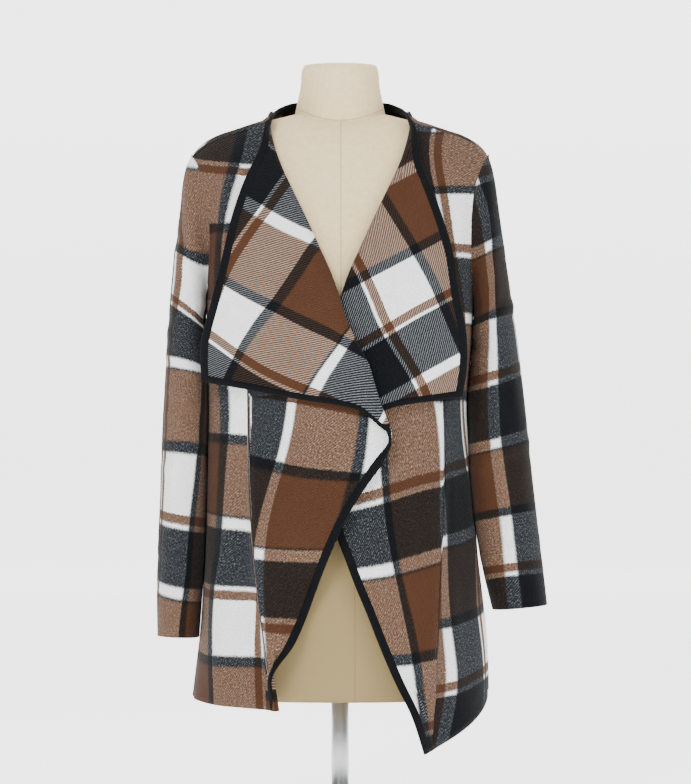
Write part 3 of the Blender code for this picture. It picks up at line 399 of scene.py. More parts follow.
def ridge_back(x: Array) -> Array:
    """Height of the shoulder line as the back sees it, higher behind the neck."""
    return ridge_front(x) + neck_rise(x)


def half_width(side: Array, z: Array) -> Array:
    """Half width of the hanging body on the side whose sign is given, negative for the right."""
    return np.where(np.asarray(side) < 0, half_right(z), half_left(z))


def share_of_rise(z: Array, ridge: Array) -> Array:
    """Share of the way from the bust, 0, up to the shoulder line, 1."""
    return np.clip((z - BUST_Z) / (ridge - BUST_Z), 0.0, 1.0)


def height_at(share: Array, ridge: Array) -> Array:
    """Height that share of the way from the bust up to the shoulder line."""
    return BUST_Z + (ridge - BUST_Z) * share


def shoulder_share(z: Array, ridge: Array, power: float) -> Array:
    """Share of the full depth above the bust: 1 at the bust, 0 on the shoulder line."""
    return (1.0 - share_of_rise(z, ridge) ** power) ** (1.0 / power)


def side_share(x: Array, half: Array) -> Array:
    """Share of the full depth at a distance from the centre: 0 at the side."""
    ratio = np.clip(np.abs(x) / half, 0.0, 1.0)
    return (1.0 - ratio ** BODY_POWER) ** (1.0 / BODY_POWER)


def body_depth(x: Array, z: Array, is_front: bool, spread: float = 0.0) -> Array:
    """Distance of the hanging cloth from the centre plane.

    The formula is the section's depth, times the shoulder's share, times the side's share.

    Args:
        x: Distance from the centre line, signed.
        z: Height.
        is_front: True for the front, False for the back.
        spread: How much wider than the body the section is taken.

    Returns:
        The distance, in millimetres, always positive.
    """
    half = half_width(x, z) + spread
    ridge = ridge_front(np.abs(x)) if is_front else ridge_back(np.abs(x))
    power = SHOULDER_POWER_FRONT if is_front else SHOULDER_POWER_BACK
    depth = depth_front(z) if is_front else depth_back(z)
    return depth * shoulder_share(z, ridge, power) * side_share(x, half)


def flipped(points: Array) -> Array:
    """A grid with its rows and columns changed over."""
    return points.transpose(1, 0, 2)


def section_angle(out: Array, half: Array) -> Array:
    """Angle round a section, 0 at the side and a quarter turn on the centre line."""
    ratio = np.clip(out / half, -1.0, 1.0)
    return np.arccos(np.sign(ratio) * np.abs(ratio) ** (BODY_POWER / 2))


def row_directions(points: Array) -> Array:
    """Direction of a smooth curve down each column of points, for uneven steps.

    The formula inside is the mean of the directions before and after, the nearer one counting
    for more.

    Args:
        points: Rows by columns by 3.

    Returns:
        Directions about 1 long, one for each point.
    """
    step = np.diff(points, axis=0)
    length = np.maximum(np.linalg.norm(step, axis=-1, keepdims=True), 1e-6)
    slope = step / length
    inner = (slope[:-1] * length[1:] + slope[1:] * length[:-1]) / (length[:-1] + length[1:])
    return np.concatenate([slope[:1], inner, slope[-1:]])


def grid_normals(points: Array) -> Array:
    """Unit normals of a grid, as the cross product of its column and row directions."""
    along = row_directions(points)
    across = flipped(row_directions(flipped(points)))
    return unit(np.cross(across, along))


def spline_rows(points: Array, steps: Sequence[int]) -> Array:
    """Cut each interval between rows into small steps on one smooth curve.

    The curve is the cubic of smooth_curve, run along the mean distance between the rows.

    Args:
        points: Array whose first axis is the rows.
        steps: How many steps each interval is cut into.

    Returns:
        The finer array.
    """
    gaps = np.diff(points, axis=0)
    chord = np.linalg.norm(gaps, axis=-1).mean(axis=1)
    span = np.maximum(chord, LEAST_STEP)
    shape = (-1,) + (1,) * (points.ndim - 1)
    secant = gaps / span.reshape(shape)
    low_span = span[:-1].reshape(shape)
    high_span = span[1:].reshape(shape)
    middle = (secant[:-1] * high_span + secant[1:] * low_span) / (low_span + high_span)
    slopes = np.concatenate([secant[:1], middle, secant[-1:]])
    low = np.repeat(np.arange(len(steps)), steps)
    t = np.concatenate([np.arange(count) / count for count in steps]).reshape(shape)
    width = span[low].reshape(shape)
    fine = (1 + 2 * t) * (1 - t) ** 2 * points[low] + t * (1 - t) ** 2 * width * slopes[low]
    fine += t * t * (3 - 2 * t) * points[low + 1] + t * t * (t - 1) * width * slopes[low + 1]
    return np.concatenate([fine, points[-1:]])


def spline_columns(points: Array, steps: Sequence[int]) -> Array:
    """Cut each interval between columns as spline_rows does between rows."""
    return flipped(spline_rows(flipped(points), steps))


def run_length(points: Array) -> Array:
    """Distance travelled down each column from the first row, row by row."""
    step = np.linalg.norm(np.diff(points, axis=0), axis=-1)
    return np.concatenate([np.zeros_like(step[:1]), np.cumsum(step, axis=0)])


def run_across(points: Array) -> Array:
    """Distance travelled along each row from the first column."""
    return run_length(flipped(points)).T


def grid_path(corners: Sequence[tuple[int, int]], held: int, extra: int) -> tuple[Array, Array]:
    """Grid points on straight runs between corners, where the path waits at one of them.

    Args:
        corners: Row and column of each corner.
        held: Number of the corner it waits at.
        extra: How many more times that corner is given.

    Returns:
        Rows and columns of the points.
    """
    stops = np.array(corners)
    run = np.concatenate([[0], np.cumsum(np.abs(np.diff(stops, axis=0)).sum(axis=1))])
    where = np.arange(run[-1] + 1)
    counts = np.ones(len(where), dtype=int)
    counts[run[held]] += extra
    rows, columns = (np.interp(where, run, line).round().astype(int) for line in stops.T)
    return np.repeat(rows, counts), np.repeat(columns, counts)


def seen_at(pixel_x: Array, pixel_y: Array) -> tuple[Array, Array]:
    """Place in millimetres, sideways and up, of a pixel of the photograph."""
    x = (np.asarray(pixel_x) - CENTRE_PIXEL_X) * PIXEL
    z = FORM_FOOT_Z + (FOOT_PIXEL_Y - np.asarray(pixel_y)) * PIXEL
    return x, z


class Press(Enum):
    """Which way a crease moves the cloth."""

    TROUGH = -1
    RIDGE = 1


class Crease(NamedTuple):
    """A soft crease between two pixels of the front view, its depth and width in millimetres."""

    from_x: float
    from_y: float
    to_x: float
    to_y: float
    depth: float
    width: float
    press: Press


# The rise beside a crease, in crease depths, and its place in crease widths
BESIDE_SHARE = 0.45
BESIDE_AT = 1.9
# How far a crease runs on past its ends, and how far it fades there, in crease lengths
CREASE_RUN_ON = 0.12
CREASE_FADE = 0.3


def crease_height(creases: Sequence[Crease], x: Array, z: Array) -> Array:
    """Height of all creases over the cloth's surface at places seen from the front.

    The formula for each is a bell across the crease, with a lower one the other way on each side
    of it, that fades towards both ends.

    Args:
        creases: The creases.
        x: Sideways place of each point, in millimetres.
        z: Height of each point.

    Returns:
        The distance to move each point along its normal, in millimetres.
    """
    height = np.zeros_like(x)
    for crease in creases:
        start_x, start_z = seen_at(crease.from_x, crease.from_y)
        end_x, end_z = seen_at(crease.to_x, crease.to_y)
        length = math.hypot(end_x - start_x, end_z - start_z)
        along_x = (end_x - start_x) / length
        along_z = (end_z - start_z) / length
        along = ((x - start_x) * along_x + (z - start_z) * along_z) / length
        across = (x - start_x) * -along_z + (z - start_z) * along_x
        near = across / crease.width
        bell = np.exp(-near ** 2) - BESIDE_SHARE * np.exp(-(np.abs(near) - BESIDE_AT) ** 2)
        start = soft_step((along + CREASE_RUN_ON) / CREASE_FADE)
        fade = start * soft_step((1 + CREASE_RUN_ON - along) / CREASE_FADE)
        height += crease.press.value * crease.depth * bell * fade
    return height


class Anchor(NamedTuple):
    """A pixel of the photograph, and the place in the plaid's repeat that it shows.

    across is measured over the lengthwise stripes and down over the crosswise ones, both in
    millimetres of flat cloth.
    """

    pixel_x: float
    pixel_y: float
    across: float
    down: float


@dataclass(frozen=True)
class PlaidMap:
    """Map from places on a piece to places in the plaid, led by its anchors.

    The formula is a plane, plus a bell-shaped correction about each anchor, so that the map
    tends to the plain plane away from them. The plane is the one that fits the anchors best, or
    has the slopes given: rows for sideways and upward steps, columns for across and down.
    """

    anchors: tuple[Anchor, ...]
    slopes: tuple[tuple[float, float], tuple[float, float]] | None = None
    reach: float = 70.0
    stiffness: float = 0.14

    def lay(self, places: Array, seen: Array) -> Array:
        """Find the plaid's coordinates of every place on a piece.

        Args:
            places: Flat coordinates of the piece's points, anything by 2, in millimetres.
            seen: The same points as seen from the front, sideways and up.

        Returns:
            Plaid coordinates, in millimetres.
        """
        rows = np.array([tuple(anchor) for anchor in self.anchors])
        x, z = seen_at(rows[:, 0], rows[:, 1])
        wanted = np.stack([x, z], axis=1)
        flat_seen = seen.reshape(-1, 2)
        gap = np.linalg.norm(flat_seen[None] - wanted[:, None], axis=2)
        nearest = gap.argmin(axis=1)
        anchor_at = places.reshape(-1, 2)[nearest] + wanted - flat_seen[nearest]
        values = rows[:, 2:4]
        plane = np.column_stack([anchor_at, np.ones(len(rows))])
        if self.slopes is None:
            slope = np.linalg.lstsq(plane, values, rcond=None)[0]
        else:
            given = np.array(self.slopes)
            slope = np.vstack([given, (values - anchor_at @ given).mean(axis=0)])
        left_over = values - plane @ slope
        bells = self.bells(anchor_at, anchor_at)
        weights = np.linalg.solve(bells + self.stiffness * np.eye(len(rows)), left_over)
        flat = places.reshape(-1, 2)
        result = np.column_stack([flat, np.ones(len(flat))]) @ slope
        result += self.bells(flat, anchor_at) @ weights
        missed = np.abs(left_over - bells @ weights).max(axis=0)
        LOG.info("plaid map: planes %s, anchors missed by %s mm at most",
                 slope[:2].round(2).tolist(), missed.round(1).tolist())
        return result.reshape(places.shape)

    def bells(self, places: Array, centres: Array) -> Array:
        """Bell curve of the distance from each place to each centre."""
        square = ((places[:, None] - centres[None]) ** 2).sum(axis=2)
        return np.exp(-square / (2 * self.reach ** 2))


def add_mesh(name: str, points: Array, faces: list, corner_uv: Array, *finishes: bpy.types.Material,
             closed: bool = False) -> bpy.types.Object:
    """Make a smooth object from points in millimetres.

    Args:
        name: Name of the piece.
        points: Its points, anything by 3.
        faces: Point numbers of each face.
        corner_uv: Flat coordinates of each corner of each face, in metres.
        *finishes: Its materials, one for each slot.
        closed: True for a closed skin, whose faces are then turned outwards.

    Returns:
        The object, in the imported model's frame.
    """
    mesh = bpy.data.meshes.new(name)
    mesh.from_pydata((points.reshape(-1, 3) * MM).tolist(), [], faces)
    mesh.uv_layers.new(name="flat").data.foreach_set("uv", corner_uv.ravel())
    if closed and signed_volume(mesh) < 0:
        mesh.flip_normals()
    mesh.shade_smooth()
    piece = bpy.data.objects.new(name, mesh)
    bpy.context.scene.collection.objects.link(piece)
    for finish in finishes:
        mesh.materials.append(finish)
    return piece


def add_tube(name: str, loops: Array, finish: bpy.types.Material,
             uv: Array | None = None) -> bpy.types.Object:
    """Make a closed piece from a stack of loops, with a fan of faces at each end.

    Args:
        name: Name of the piece.
        loops: Points in millimetres, loops by columns by 3.
        finish: Its material.
        uv: Flat coordinates of the points in metres; without them, their x and y.

    Returns:
        The object.
    """
    rows, columns = loops.shape[:2]
    ring = np.arange(columns)
    following = np.roll(ring, -1)
    total = rows * columns
    top = total - columns
    quads = grid_faces(np.ones((rows - 1, columns), dtype=bool), closed=True)
    first = np.stack([following, ring, np.full_like(ring, total)], axis=1)
    last = np.stack([top + ring, top + following, np.full_like(ring, total + 1)], axis=1)
    points = np.concatenate([loops.reshape(-1, 3), loops[[0, -1]].mean(axis=1)])
    if uv is None:
        every_uv = points[:, :2] * MM
    else:
        every_uv = np.concatenate([uv.reshape(-1, 2), uv[[0, -1], 0]])
    corners = np.concatenate([quads.ravel(), first.ravel(), last.ravel()])
    faces = quads.tolist() + first.tolist() + last.tolist()
    return add_mesh(name, points, faces, every_uv[corners], finish, closed=True)


def grid_faces(cells: Array, closed: bool = False) -> Array:
    """Find the four corners of each chosen cell of a grid.

    Args:
        cells: Whether each cell is wanted, rows by columns.
        closed: True where the last column of cells runs back to the first points.

    Returns:
        Point numbers, counted row by row, cells by 4.
    """
    width = cells.shape[1] if closed else cells.shape[1] + 1
    row, column = np.nonzero(cells)
    following = (column + 1) % width
    low = row * width
    high = low + width
    return np.stack([low + column, low + following, high + following, high + column], axis=1)


def seam_dip(distance: Array, depth: float = SEAM_DIP) -> Array:
    """Height of the cloth in the dip of a sewn seam, at each distance from it."""
    return -depth * np.exp(-(distance / SEAM_DIP_WIDTH) ** 2)


@dataclass
class Sheet:
    """One layer of cloth on a fine grid, with its flat map in metres.

    A closed sheet's last column lies on its first, and is sewn to it.
    """

    name: str
    points: Array
    uv: Array
    cells: Array
    closed: bool = False
    turned: bool = False
    wall: float = CLOTH_WALL

    def build(self, face: bpy.types.Material, wrong: bpy.types.Material) -> bpy.types.Object:
        """Make the sheet's object, with its two sides and its cut edges.

        Args:
            face: Finish of the right side.
            wrong: Finish of the wrong side.

        Returns:
            The object, with a live Solidify modifier.
        """
        faces = grid_faces(self.cells)
        if self.turned:
            faces = faces[:, ::-1]
        corner_uv = self.uv.reshape(-1, 2)[faces]
        if self.closed:
            last = self.cells.shape[1]
            faces = np.where(faces % (last + 1) == last, faces - last, faces)
        used, packed = np.unique(faces, return_inverse=True)
        points = self.points.reshape(-1, 3)[used]
        piece = add_mesh(self.name, points, packed.reshape(-1, 4).tolist(), corner_uv, face, wrong)
        solid = piece.modifiers.new("cloth thickness", "SOLIDIFY")
        solid.thickness = self.wall * MM
        solid.offset = 0.0
        solid.material_offset = 1
        solid.material_offset_rim = 0
        return piece

    def area(self) -> float:
        """Area of one layer of the sheet.

        Returns:
            The area in square metres.
        """
        across = self.points[:-1, 1:] - self.points[:-1, :-1]
        along = self.points[1:, :-1] - self.points[:-1, :-1]
        cell = np.linalg.norm(np.cross(across, along), axis=-1)
        return float((cell * self.cells).sum()) * MM * MM


@dataclass
class Binding:
    """A folded strip over a cut edge, along pairs of points of its inner and outer lines."""

    name: str
    inner: Array
    outer: Array
    normals: Array
    wall: float = BINDING_WALL
    bulge: float = 0.6
    sides: int = 16
    power: float = 2.8
    groove_depth: float = 0.22
    groove_at: float = 0.62
    groove_width: float = 0.14

    def build(self, knit: bpy.types.Material) -> bpy.types.Object:
        """Make the strip as a flat rounded tube with closed ends.

        The formula is a rounded rectangle in the plane of the two lines and the normal, with a
        shallow groove where the strip is stitched down.

        Args:
            knit: Its finish.

        Returns:
            The object.
        """
        angle = np.linspace(0, 2 * math.pi, self.sides, endpoint=False)
        cosine = power_wave(np.cos(angle), self.power)
        sine = power_wave(np.sin(angle), self.power)
        groove = np.exp(-((cosine + self.groove_at) / self.groove_width) ** 2)
        thick = sine * (1 - self.groove_depth * groove) * self.wall * self.bulge
        middle = (self.inner + self.outer) / 2
        half = (self.outer - self.inner) / 2
        points = middle[:, None] + half[:, None] * cosine[None, :, None] * BINDING_SWELL
        points = points + self.normals[:, None] * thick[None, :, None]
        run = run_length(middle[:, None, :])[:, 0]
        turn = angle / (2 * math.pi) * (2 * BINDING_WIDTH + self.wall)
        uv = np.stack(np.broadcast_arrays(turn[None, :], run[:, None]), axis=-1) * MM
        return add_tube(self.name, points, knit, uv)


def signed_volume(mesh: bpy.types.Mesh) -> float:
    """Volume inside a closed mesh.

    Args:
        mesh: The mesh.

    Returns:
        The volume, positive where the faces point outwards.
    """
    mesh.calc_loop_triangles()
    corners = np.empty(len(mesh.loop_triangles) * 3, dtype=np.int64)
    mesh.loop_triangles.foreach_get("vertices", corners)
    points = np.empty(len(mesh.vertices) * 3)
    mesh.vertices.foreach_get("co", points)
    triangle = points.reshape(-1, 3)[corners].reshape(-1, 3, 3)
    return float(np.einsum("ij,ij->", triangle[:, 0], np.cross(triangle[:, 1], triangle[:, 2])) / 6)


@dataclass
class Front:
    """One front of the cardigan: its panel with the lapel folded out, and its bound edge."""

    name: str
    side: int
    turn_z: float
    side_hem: float
    lift: float
    edge: tuple[Edge, ...]
    lapel: tuple[Edge, ...]
    lower: tuple[LowerEdge, ...]
    folds: tuple[Fold, ...]
    tuck: float
    tuck_low_share: float
    side_plaid: PlaidMap
    centre_plaid: PlaidMap
    lapel_plaid: PlaidMap
    body_creases: tuple[Crease, ...] = ()
    lapel_creases: tuple[Crease, ...] = ()
    body_step: int = 5
    tuck_steps: int = 18
    row_step: int = 6
    narrow_step: int = 3
    strip_step: int = 4
    gap_step: int = 1

    def fold_line(self, fold: Fold, z: Array, most: float) -> tuple[Array, Array]:
        """Share of the way down a fold, up to a most, and the fold's distance out there."""
        way = np.clip((fold.top_z - z) / (fold.top_z - fold.low_z), 0.0, most)
        return way, fold.top_out + (fold.low_out - fold.top_out) * way ** FOLD_DRIFT

    def fold_shift(self, out: Array, z: Array) -> tuple[Array, Array]:
        """Forward depth and sideways overhang of the hanging folds at places of the front.

        The formula is a rise on the inner side of the fold's line that fades towards the centre,
        or a bell across the line where the fold has no overhang.

        Args:
            out: Distance out from the centre line.
            z: Height.

        Returns:
            The depth and the overhang.
        """
        depth = np.zeros_like(out)
        overhang = np.zeros_like(out)
        for fold in self.folds:
            way, line = self.fold_line(fold, z, FOLD_RUN_ON)
            strength = soft_step(way * FOLD_GROWTH)
            t = (line - out) / fold.width
            if fold.overhang > 0:
                crest = 0.5 + 0.5 * np.tanh(t)
                fade = np.exp(-np.clip(t, 0, None) / FOLD_CREST_LENGTH)
                depth += fold.depth * strength * crest * fade
                overhang += fold.overhang * strength * np.exp(-(t - FOLD_OVERHANG_AT) ** 2)
            else:
                depth += fold.depth * strength * np.exp(-t * t)
        return depth, overhang

    def surface(self, out: Array, z: Array, spread: float = 0.0, ahead: float = 0.0) -> Array:
        """Points of the cloth at given distances out and heights.

        Args:
            out: Distance out from the centre line.
            z: Height.
            spread: How much wider than the body the section is; a lapel lies on no hanging fold.
            ahead: How far in front of the body the cloth lies.

        Returns:
            The points.
        """
        fold, overhang = self.fold_shift(out, z)
        if spread > 0:
            fold = 0.0
            overhang = 0.0
        across = soft_step((OVERLAP.outer_out - out) / OVERLAP.side_ramp)
        below = soft_step((z - OVERLAP.low_z) / OVERLAP.low_ramp)
        above = soft_step((OVERLAP.top_z - z) / OVERLAP.top_ramp)
        forward = self.lift * across * below * above + fold + ahead
        y = -body_depth(self.side * out, z, True, spread) - forward
        return np.stack([self.side * (out + overhang), y, z], axis=-1)

    def edge_levels(self) -> tuple[Array, Array]:
        """Heights of the rows, along the front edge.

        Returns:
            Those up to the bust, and those from there to the shoulder seam.
        """
        low = self.edge[0].z
        spaced = (1 - np.linspace(0, 1, ROWS_BELOW_TURN + 1)) ** TURN_ROW_POWER
        below = self.turn_z - (self.turn_z - low) * spaced
        strip = self.turn_z + BINDING_WIDTH + np.array([0.0, BINDING_GAP])
        middle = np.linspace(strip[-1], BUST_Z, ROWS_TURN_TO_BUST + 1)[1:]
        turned = np.radians(FRONT_UPPER_ANGLES[1:])
        upper = height_at(np.cos(turned), ridge_front(FRONT_SEAM_INNER_X))
        return np.concatenate([below, strip, middle]), upper

    def side_line(self, lower: Array, upper: Array) -> tuple[Array, Array]:
        """Outline at the side, the side seam and then the armhole.

        Args:
            lower: Heights of the rows up to the bust.
            upper: Heights of the rows above it.

        Returns:
            Distance out and height, row by row.
        """
        share = (lower - lower[0]) / (BUST_Z - lower[0])
        seam_z = self.side_hem + (BUST_Z - self.side_hem) * share
        seam_x = half_width(self.side, seam_z)
        turned = np.arccos((upper - BUST_Z) / (ridge_front(FRONT_SEAM_INNER_X) - BUST_Z))
        arm_x = armhole_x(np.degrees(turned))
        arm_z = height_at(np.cos(turned), ridge_front(arm_x))
        seam_x[-1] = armhole_x(90.0)
        return np.concatenate([seam_x, arm_x]), np.concatenate([seam_z, arm_z])

    def coarse_grid(self) -> tuple[Array, int]:
        """Coarse grid of body, roll and lapel columns.

        Returns:
            Points, rows by columns by 3, and the number of the roll's last column.
        """
        lower_z, upper_z = self.edge_levels()
        edge_z = np.concatenate([lower_z, upper_z])
        edge_out = column_curve(self.edge, "z", "out")(edge_z)
        bust_row = len(lower_z) - 1
        rows = len(edge_z)

        # The roll's angle and radius, and where it leaves the body
        below = np.clip((self.turn_z - edge_z) / EDGE_UNROLL_HEIGHT, 0.0, 1.0)
        degrees = 180.0 + (EDGE_FLAT_ANGLE - 180.0) * soft_step(below)
        angle = np.radians(np.where(edge_z > NECK_ROLL[0].z, neck_roll(edge_z), degrees))
        radius = np.where(edge_z < self.turn_z, math.pi * ROLL_RADIUS / angle, ROLL_RADIUS)
        reach = np.where(angle < math.pi / 2, radius * np.sin(angle), radius)
        slope_out = np.gradient(edge_out, edge_z)
        inward = unit(np.stack([np.ones_like(slope_out), -slope_out], axis=-1))
        start_out = edge_out + inward[:, 0] * reach
        start_z = edge_z + inward[:, 1] * reach
        start_z[-1] = height_at(math.cos(SEAM_FORWARD), ridge_front(start_out[-1]))

        # Body columns by angle round the section, close together beside the main fold
        side_x, side_z = self.side_line(lower_z, upper_z)
        first = section_angle(side_x, half_width(self.side, side_z))
        last = section_angle(start_out, half_width(self.side, start_z))
        fold_out = self.fold_line(self.folds[0], edge_z, 1.0)[1]
        room = np.clip((fold_out - start_out - FOLD_EDGE_ROOM) / FOLD_ROOM, FOLD_LEAST_ROOM, 1.0)
        offsets = np.asarray(FOLD_COLUMNS)[None, :]
        near = fold_out[:, None] + np.where(offsets < 0, offsets * room[:, None], offsets)
        at_fold = section_angle(near, half_width(self.side, edge_z)[:, None])
        beside = np.linspace(0, 1, SIDE_COLUMNS + 1)[None, :-1]
        ahead = np.linspace(0, 1, CENTRE_COLUMNS + 1)[None, 1:]
        turned = np.concatenate([
            first[:, None] + (at_fold[:, :1] - first[:, None]) * beside,
            at_fold,
            at_fold[:, -1:] + (last[:, None] - at_fold[:, -1:]) * ahead,
        ], axis=1)
        share = (turned - first[:, None]) / (last - first)[:, None]
        z = side_z[:, None] + (start_z - side_z)[:, None] * share
        out = half_width(self.side, z) * power_wave(np.cos(turned), BODY_POWER)
        level = share_of_rise(side_z, ridge_front(side_x))
        edge_level = share_of_rise(start_z, ridge_front(np.abs(start_out)))
        level = level[:, None] + (edge_level - level)[:, None] * share
        sloped = height_at(level, ridge_front(np.abs(out)))
        z[bust_row:] = sloped[bust_row:]
        body = self.surface(out, z)

        # The roll, part of a circle that stands on the body's last column
        probe = self.surface(start_out - PROBE * inward[:, 0], start_z - PROBE * inward[:, 1])
        start = body[:, -1]
        towards = unit(probe - start)
        along = unit(np.gradient(start, axis=0))
        outward = unit(np.cross(towards, along)) * -self.side
        outward = outward * -np.sign(outward[:, 1:2])
        towards = unit(towards - outward * np.sum(towards * outward, axis=1, keepdims=True))
        turns = angle[:, None] * np.asarray(ROLL_ANGLES)[None, 1:]
        circle_in = (radius[:, None] * np.sin(turns))[..., None] * towards[:, None]
        circle_up = (radius[:, None] * (1 - np.cos(turns)))[..., None] * outward[:, None]
        roll = start[:, None] + circle_in + circle_up

        roll_end = BODY_COLUMNS + len(ROLL_ANGLES) - 1
        top = slice(ROWS_BELOW_TURN, rows)
        lapel = self.lapel_columns(edge_z[top], start_out[top], start_z[top], roll[top, -1],
                                   towards[top], outward[top], angle[top])
        grid = np.zeros((rows, roll_end + 1 + lapel.shape[1], 3))
        grid[:, :BODY_COLUMNS + 1] = body
        grid[:, BODY_COLUMNS + 1:roll_end + 1] = roll
        grid[top, roll_end + 1:] = lapel
        grid[:ROWS_BELOW_TURN, roll_end + 1:] = roll[:ROWS_BELOW_TURN, -1:]
        return grid, roll_end

    def lapel_columns(self, edge_z: Array, start_out: Array, start_z: Array, roll_end: Array,
                      towards: Array, outward: Array, angle: Array) -> Array:
        """Columns of the lapel beyond the roll, from the turning point to the shoulder seam.

        The formula is a straight blend from the roll line to the lapel's outline, laid just in
        front of the body, that turns into a straight stand-up strip near the neck.

        Args:
            edge_z: Heights of the rows.
            start_out: Distance out where each row leaves the body.
            start_z: Height where it does.
            roll_end: Where the roll ends.
            towards: Direction of the cloth where it leaves the body.
            outward: Direction off the body there.
            angle: Angle of the roll.

        Returns:
            Points, rows by columns by 3.
        """
        share = (edge_z - edge_z[0]) / (edge_z[-1] - edge_z[0])
        outline_z = np.array([point.z for point in self.lapel], dtype=float)
        outline_out = np.array([point.out for point in self.lapel], dtype=float)
        steps = np.hypot(np.diff(outline_z), np.diff(outline_out))
        run = np.concatenate([[0.0], np.cumsum(steps)])
        outer_z = smooth_curve(run, outline_z)(run[-1] * share)
        outer_out = smooth_curve(run, outline_out)(run[-1] * share)
        width = np.hypot(outer_out - start_out, outer_z - start_z)
        width = np.maximum(width, STAND_WIDTH)
        fraction = np.empty((len(edge_z), LAPEL_COLUMNS + 2))
        cloth_end = 1 - (BINDING_WIDTH + BINDING_GAP) / width
        even = np.linspace(0, 1, LAPEL_COLUMNS + 1)[1:]
        fraction[:, :LAPEL_COLUMNS] = even[None, :] * cloth_end[:, None]
        fraction[:, LAPEL_COLUMNS] = 1 - BINDING_WIDTH / width
        fraction[:, LAPEL_COLUMNS + 1] = 1.0

        out = start_out[:, None] + (outer_out - start_out)[:, None] * fraction
        z = start_z[:, None] + (outer_z - start_z)[:, None] * fraction
        rise = column_curve(self.lower, "share", "rise")(fraction)
        z = z + rise * ((1 - share) ** LOWER_EDGE_POWER)[:, None]
        gap = 2 * ROLL_RADIUS + LAPEL_PUFF * np.sin(fraction * math.pi)
        draped = self.surface(out, z, LAPEL_SPREAD, gap)
        near = (np.clip(1 - fraction / LAPEL_NEAR, 0, 1) ** 2)[..., None]
        offset = roll_end - self.surface(start_out, start_z, LAPEL_SPREAD, 2 * ROLL_RADIUS)
        draped = draped + near * offset[:, None]
        heading = towards * np.cos(angle)[:, None] + outward * np.sin(angle)[:, None]
        ruled = roll_end[:, None] + heading[:, None] * (width[:, None] * fraction)[..., None]
        blend = soft_step((edge_z - STAND_LOW_Z) / STAND_RISE)[:, None, None]
        return draped * (1 - blend) + ruled * blend

    def fine_grid(self) -> None:
        """Work out the fine grid, its normals, its flat map and the numbers of its main lines."""
        coarse, roll_end = self.coarse_grid()
        rows, columns = coarse.shape[:2]
        row_steps = np.full(rows - 1, self.row_step)
        row_steps[ROWS_BELOW_TURN:ROWS_BELOW_TURN + 2] = (self.strip_step, self.gap_step)
        column_steps = np.full(columns - 1, self.body_step)
        column_steps[SIDE_COLUMNS:SIDE_COLUMNS + len(FOLD_COLUMNS) - 1] = self.narrow_step
        tuck_column = SIDE_COLUMNS + 1
        column_steps[tuck_column] = self.tuck_steps
        column_steps[BODY_COLUMNS:roll_end] = self.narrow_step
        column_steps[STRIP_COLUMN - 1] = self.gap_step
        column_steps[-2:] = (self.gap_step, self.strip_step)
        at_row = np.concatenate([[0], np.cumsum(row_steps)])
        at_column = np.concatenate([[0], np.cumsum(column_steps)])
        self.turn_row = int(at_row[ROWS_BELOW_TURN])
        self.strip_row = int(at_row[ROWS_BELOW_TURN + 1])
        self.body_end = int(at_column[BODY_COLUMNS])
        self.strip_column = int(at_column[STRIP_COLUMN])
        self.roll_end = int(at_column[roll_end])
        self.lapel_strip = int(at_column[-2])
        self.tuck_start = int(at_column[tuck_column])
        self.tuck_end = int(at_column[tuck_column + 1])

        tall = spline_rows(coarse[:, :roll_end + 1], row_steps)
        lapel = spline_rows(coarse[ROWS_BELOW_TURN:, roll_end:], row_steps[ROWS_BELOW_TURN:])
        upper = np.concatenate([tall[self.turn_row:], lapel[:, 1:]], axis=1)
        upper = spline_columns(upper, column_steps)
        lower = spline_columns(tall[:self.turn_row], column_steps[:roll_end])
        points = np.zeros((len(tall), upper.shape[1], 3))
        points[self.turn_row:] = upper
        points[:self.turn_row, :self.roll_end + 1] = lower
        points[:self.turn_row, self.roll_end + 1:] = lower[:, -1:]
        self.lay_plaid(points)
        self.fold_under(points)
        body = crease_height(self.body_creases, points[..., 0], points[..., 2])
        lapel = crease_height(self.lapel_creases, points[..., 0], points[..., 2])
        body[:, self.body_end:] = 0.0
        lapel[:, :self.roll_end] = 0.0
        from_edge = np.arange(points.shape[1])[::-1]
        height = body - lapel * soft_step(from_edge / LAPEL_EDGE_COLUMNS)[None, :]
        height += self.seam_dips(points)
        self.points = points + self.find_normals(points) * height[..., None]
        self.normals = self.find_normals(self.points)

    def seam_dips(self, points: Array) -> Array:
        """Dip of the cloth along the side, armhole and shoulder seams.

        Args:
            points: The fine grid.

        Returns:
            The height of each point over the plain cloth, nought or less.
        """
        from_top = run_length(points[::-1])[::-1]
        dip = seam_dip(run_across(points)) + seam_dip(from_top)
        dip[:, self.body_end:] = 0.0
        return dip

    def find_normals(self, points: Array) -> Array:
        """Normals of the cloth; the lapel's come from its own rows.

        Args:
            points: The fine grid.

        Returns:
            Unit normals, towards the cloth's right side.
        """
        normals = np.zeros_like(points)
        whole = grid_normals(points[:, :self.roll_end + 1]) * self.side
        normals[:, :self.roll_end + 1] = whole
        upper = grid_normals(points[self.turn_row:]) * self.side
        normals[self.turn_row:, self.body_end + 1:] = upper[:, self.body_end + 1:]
        below = normals[:self.turn_row]
        below[:, self.roll_end + 1:] = below[:, self.roll_end][:, None]
        return normals

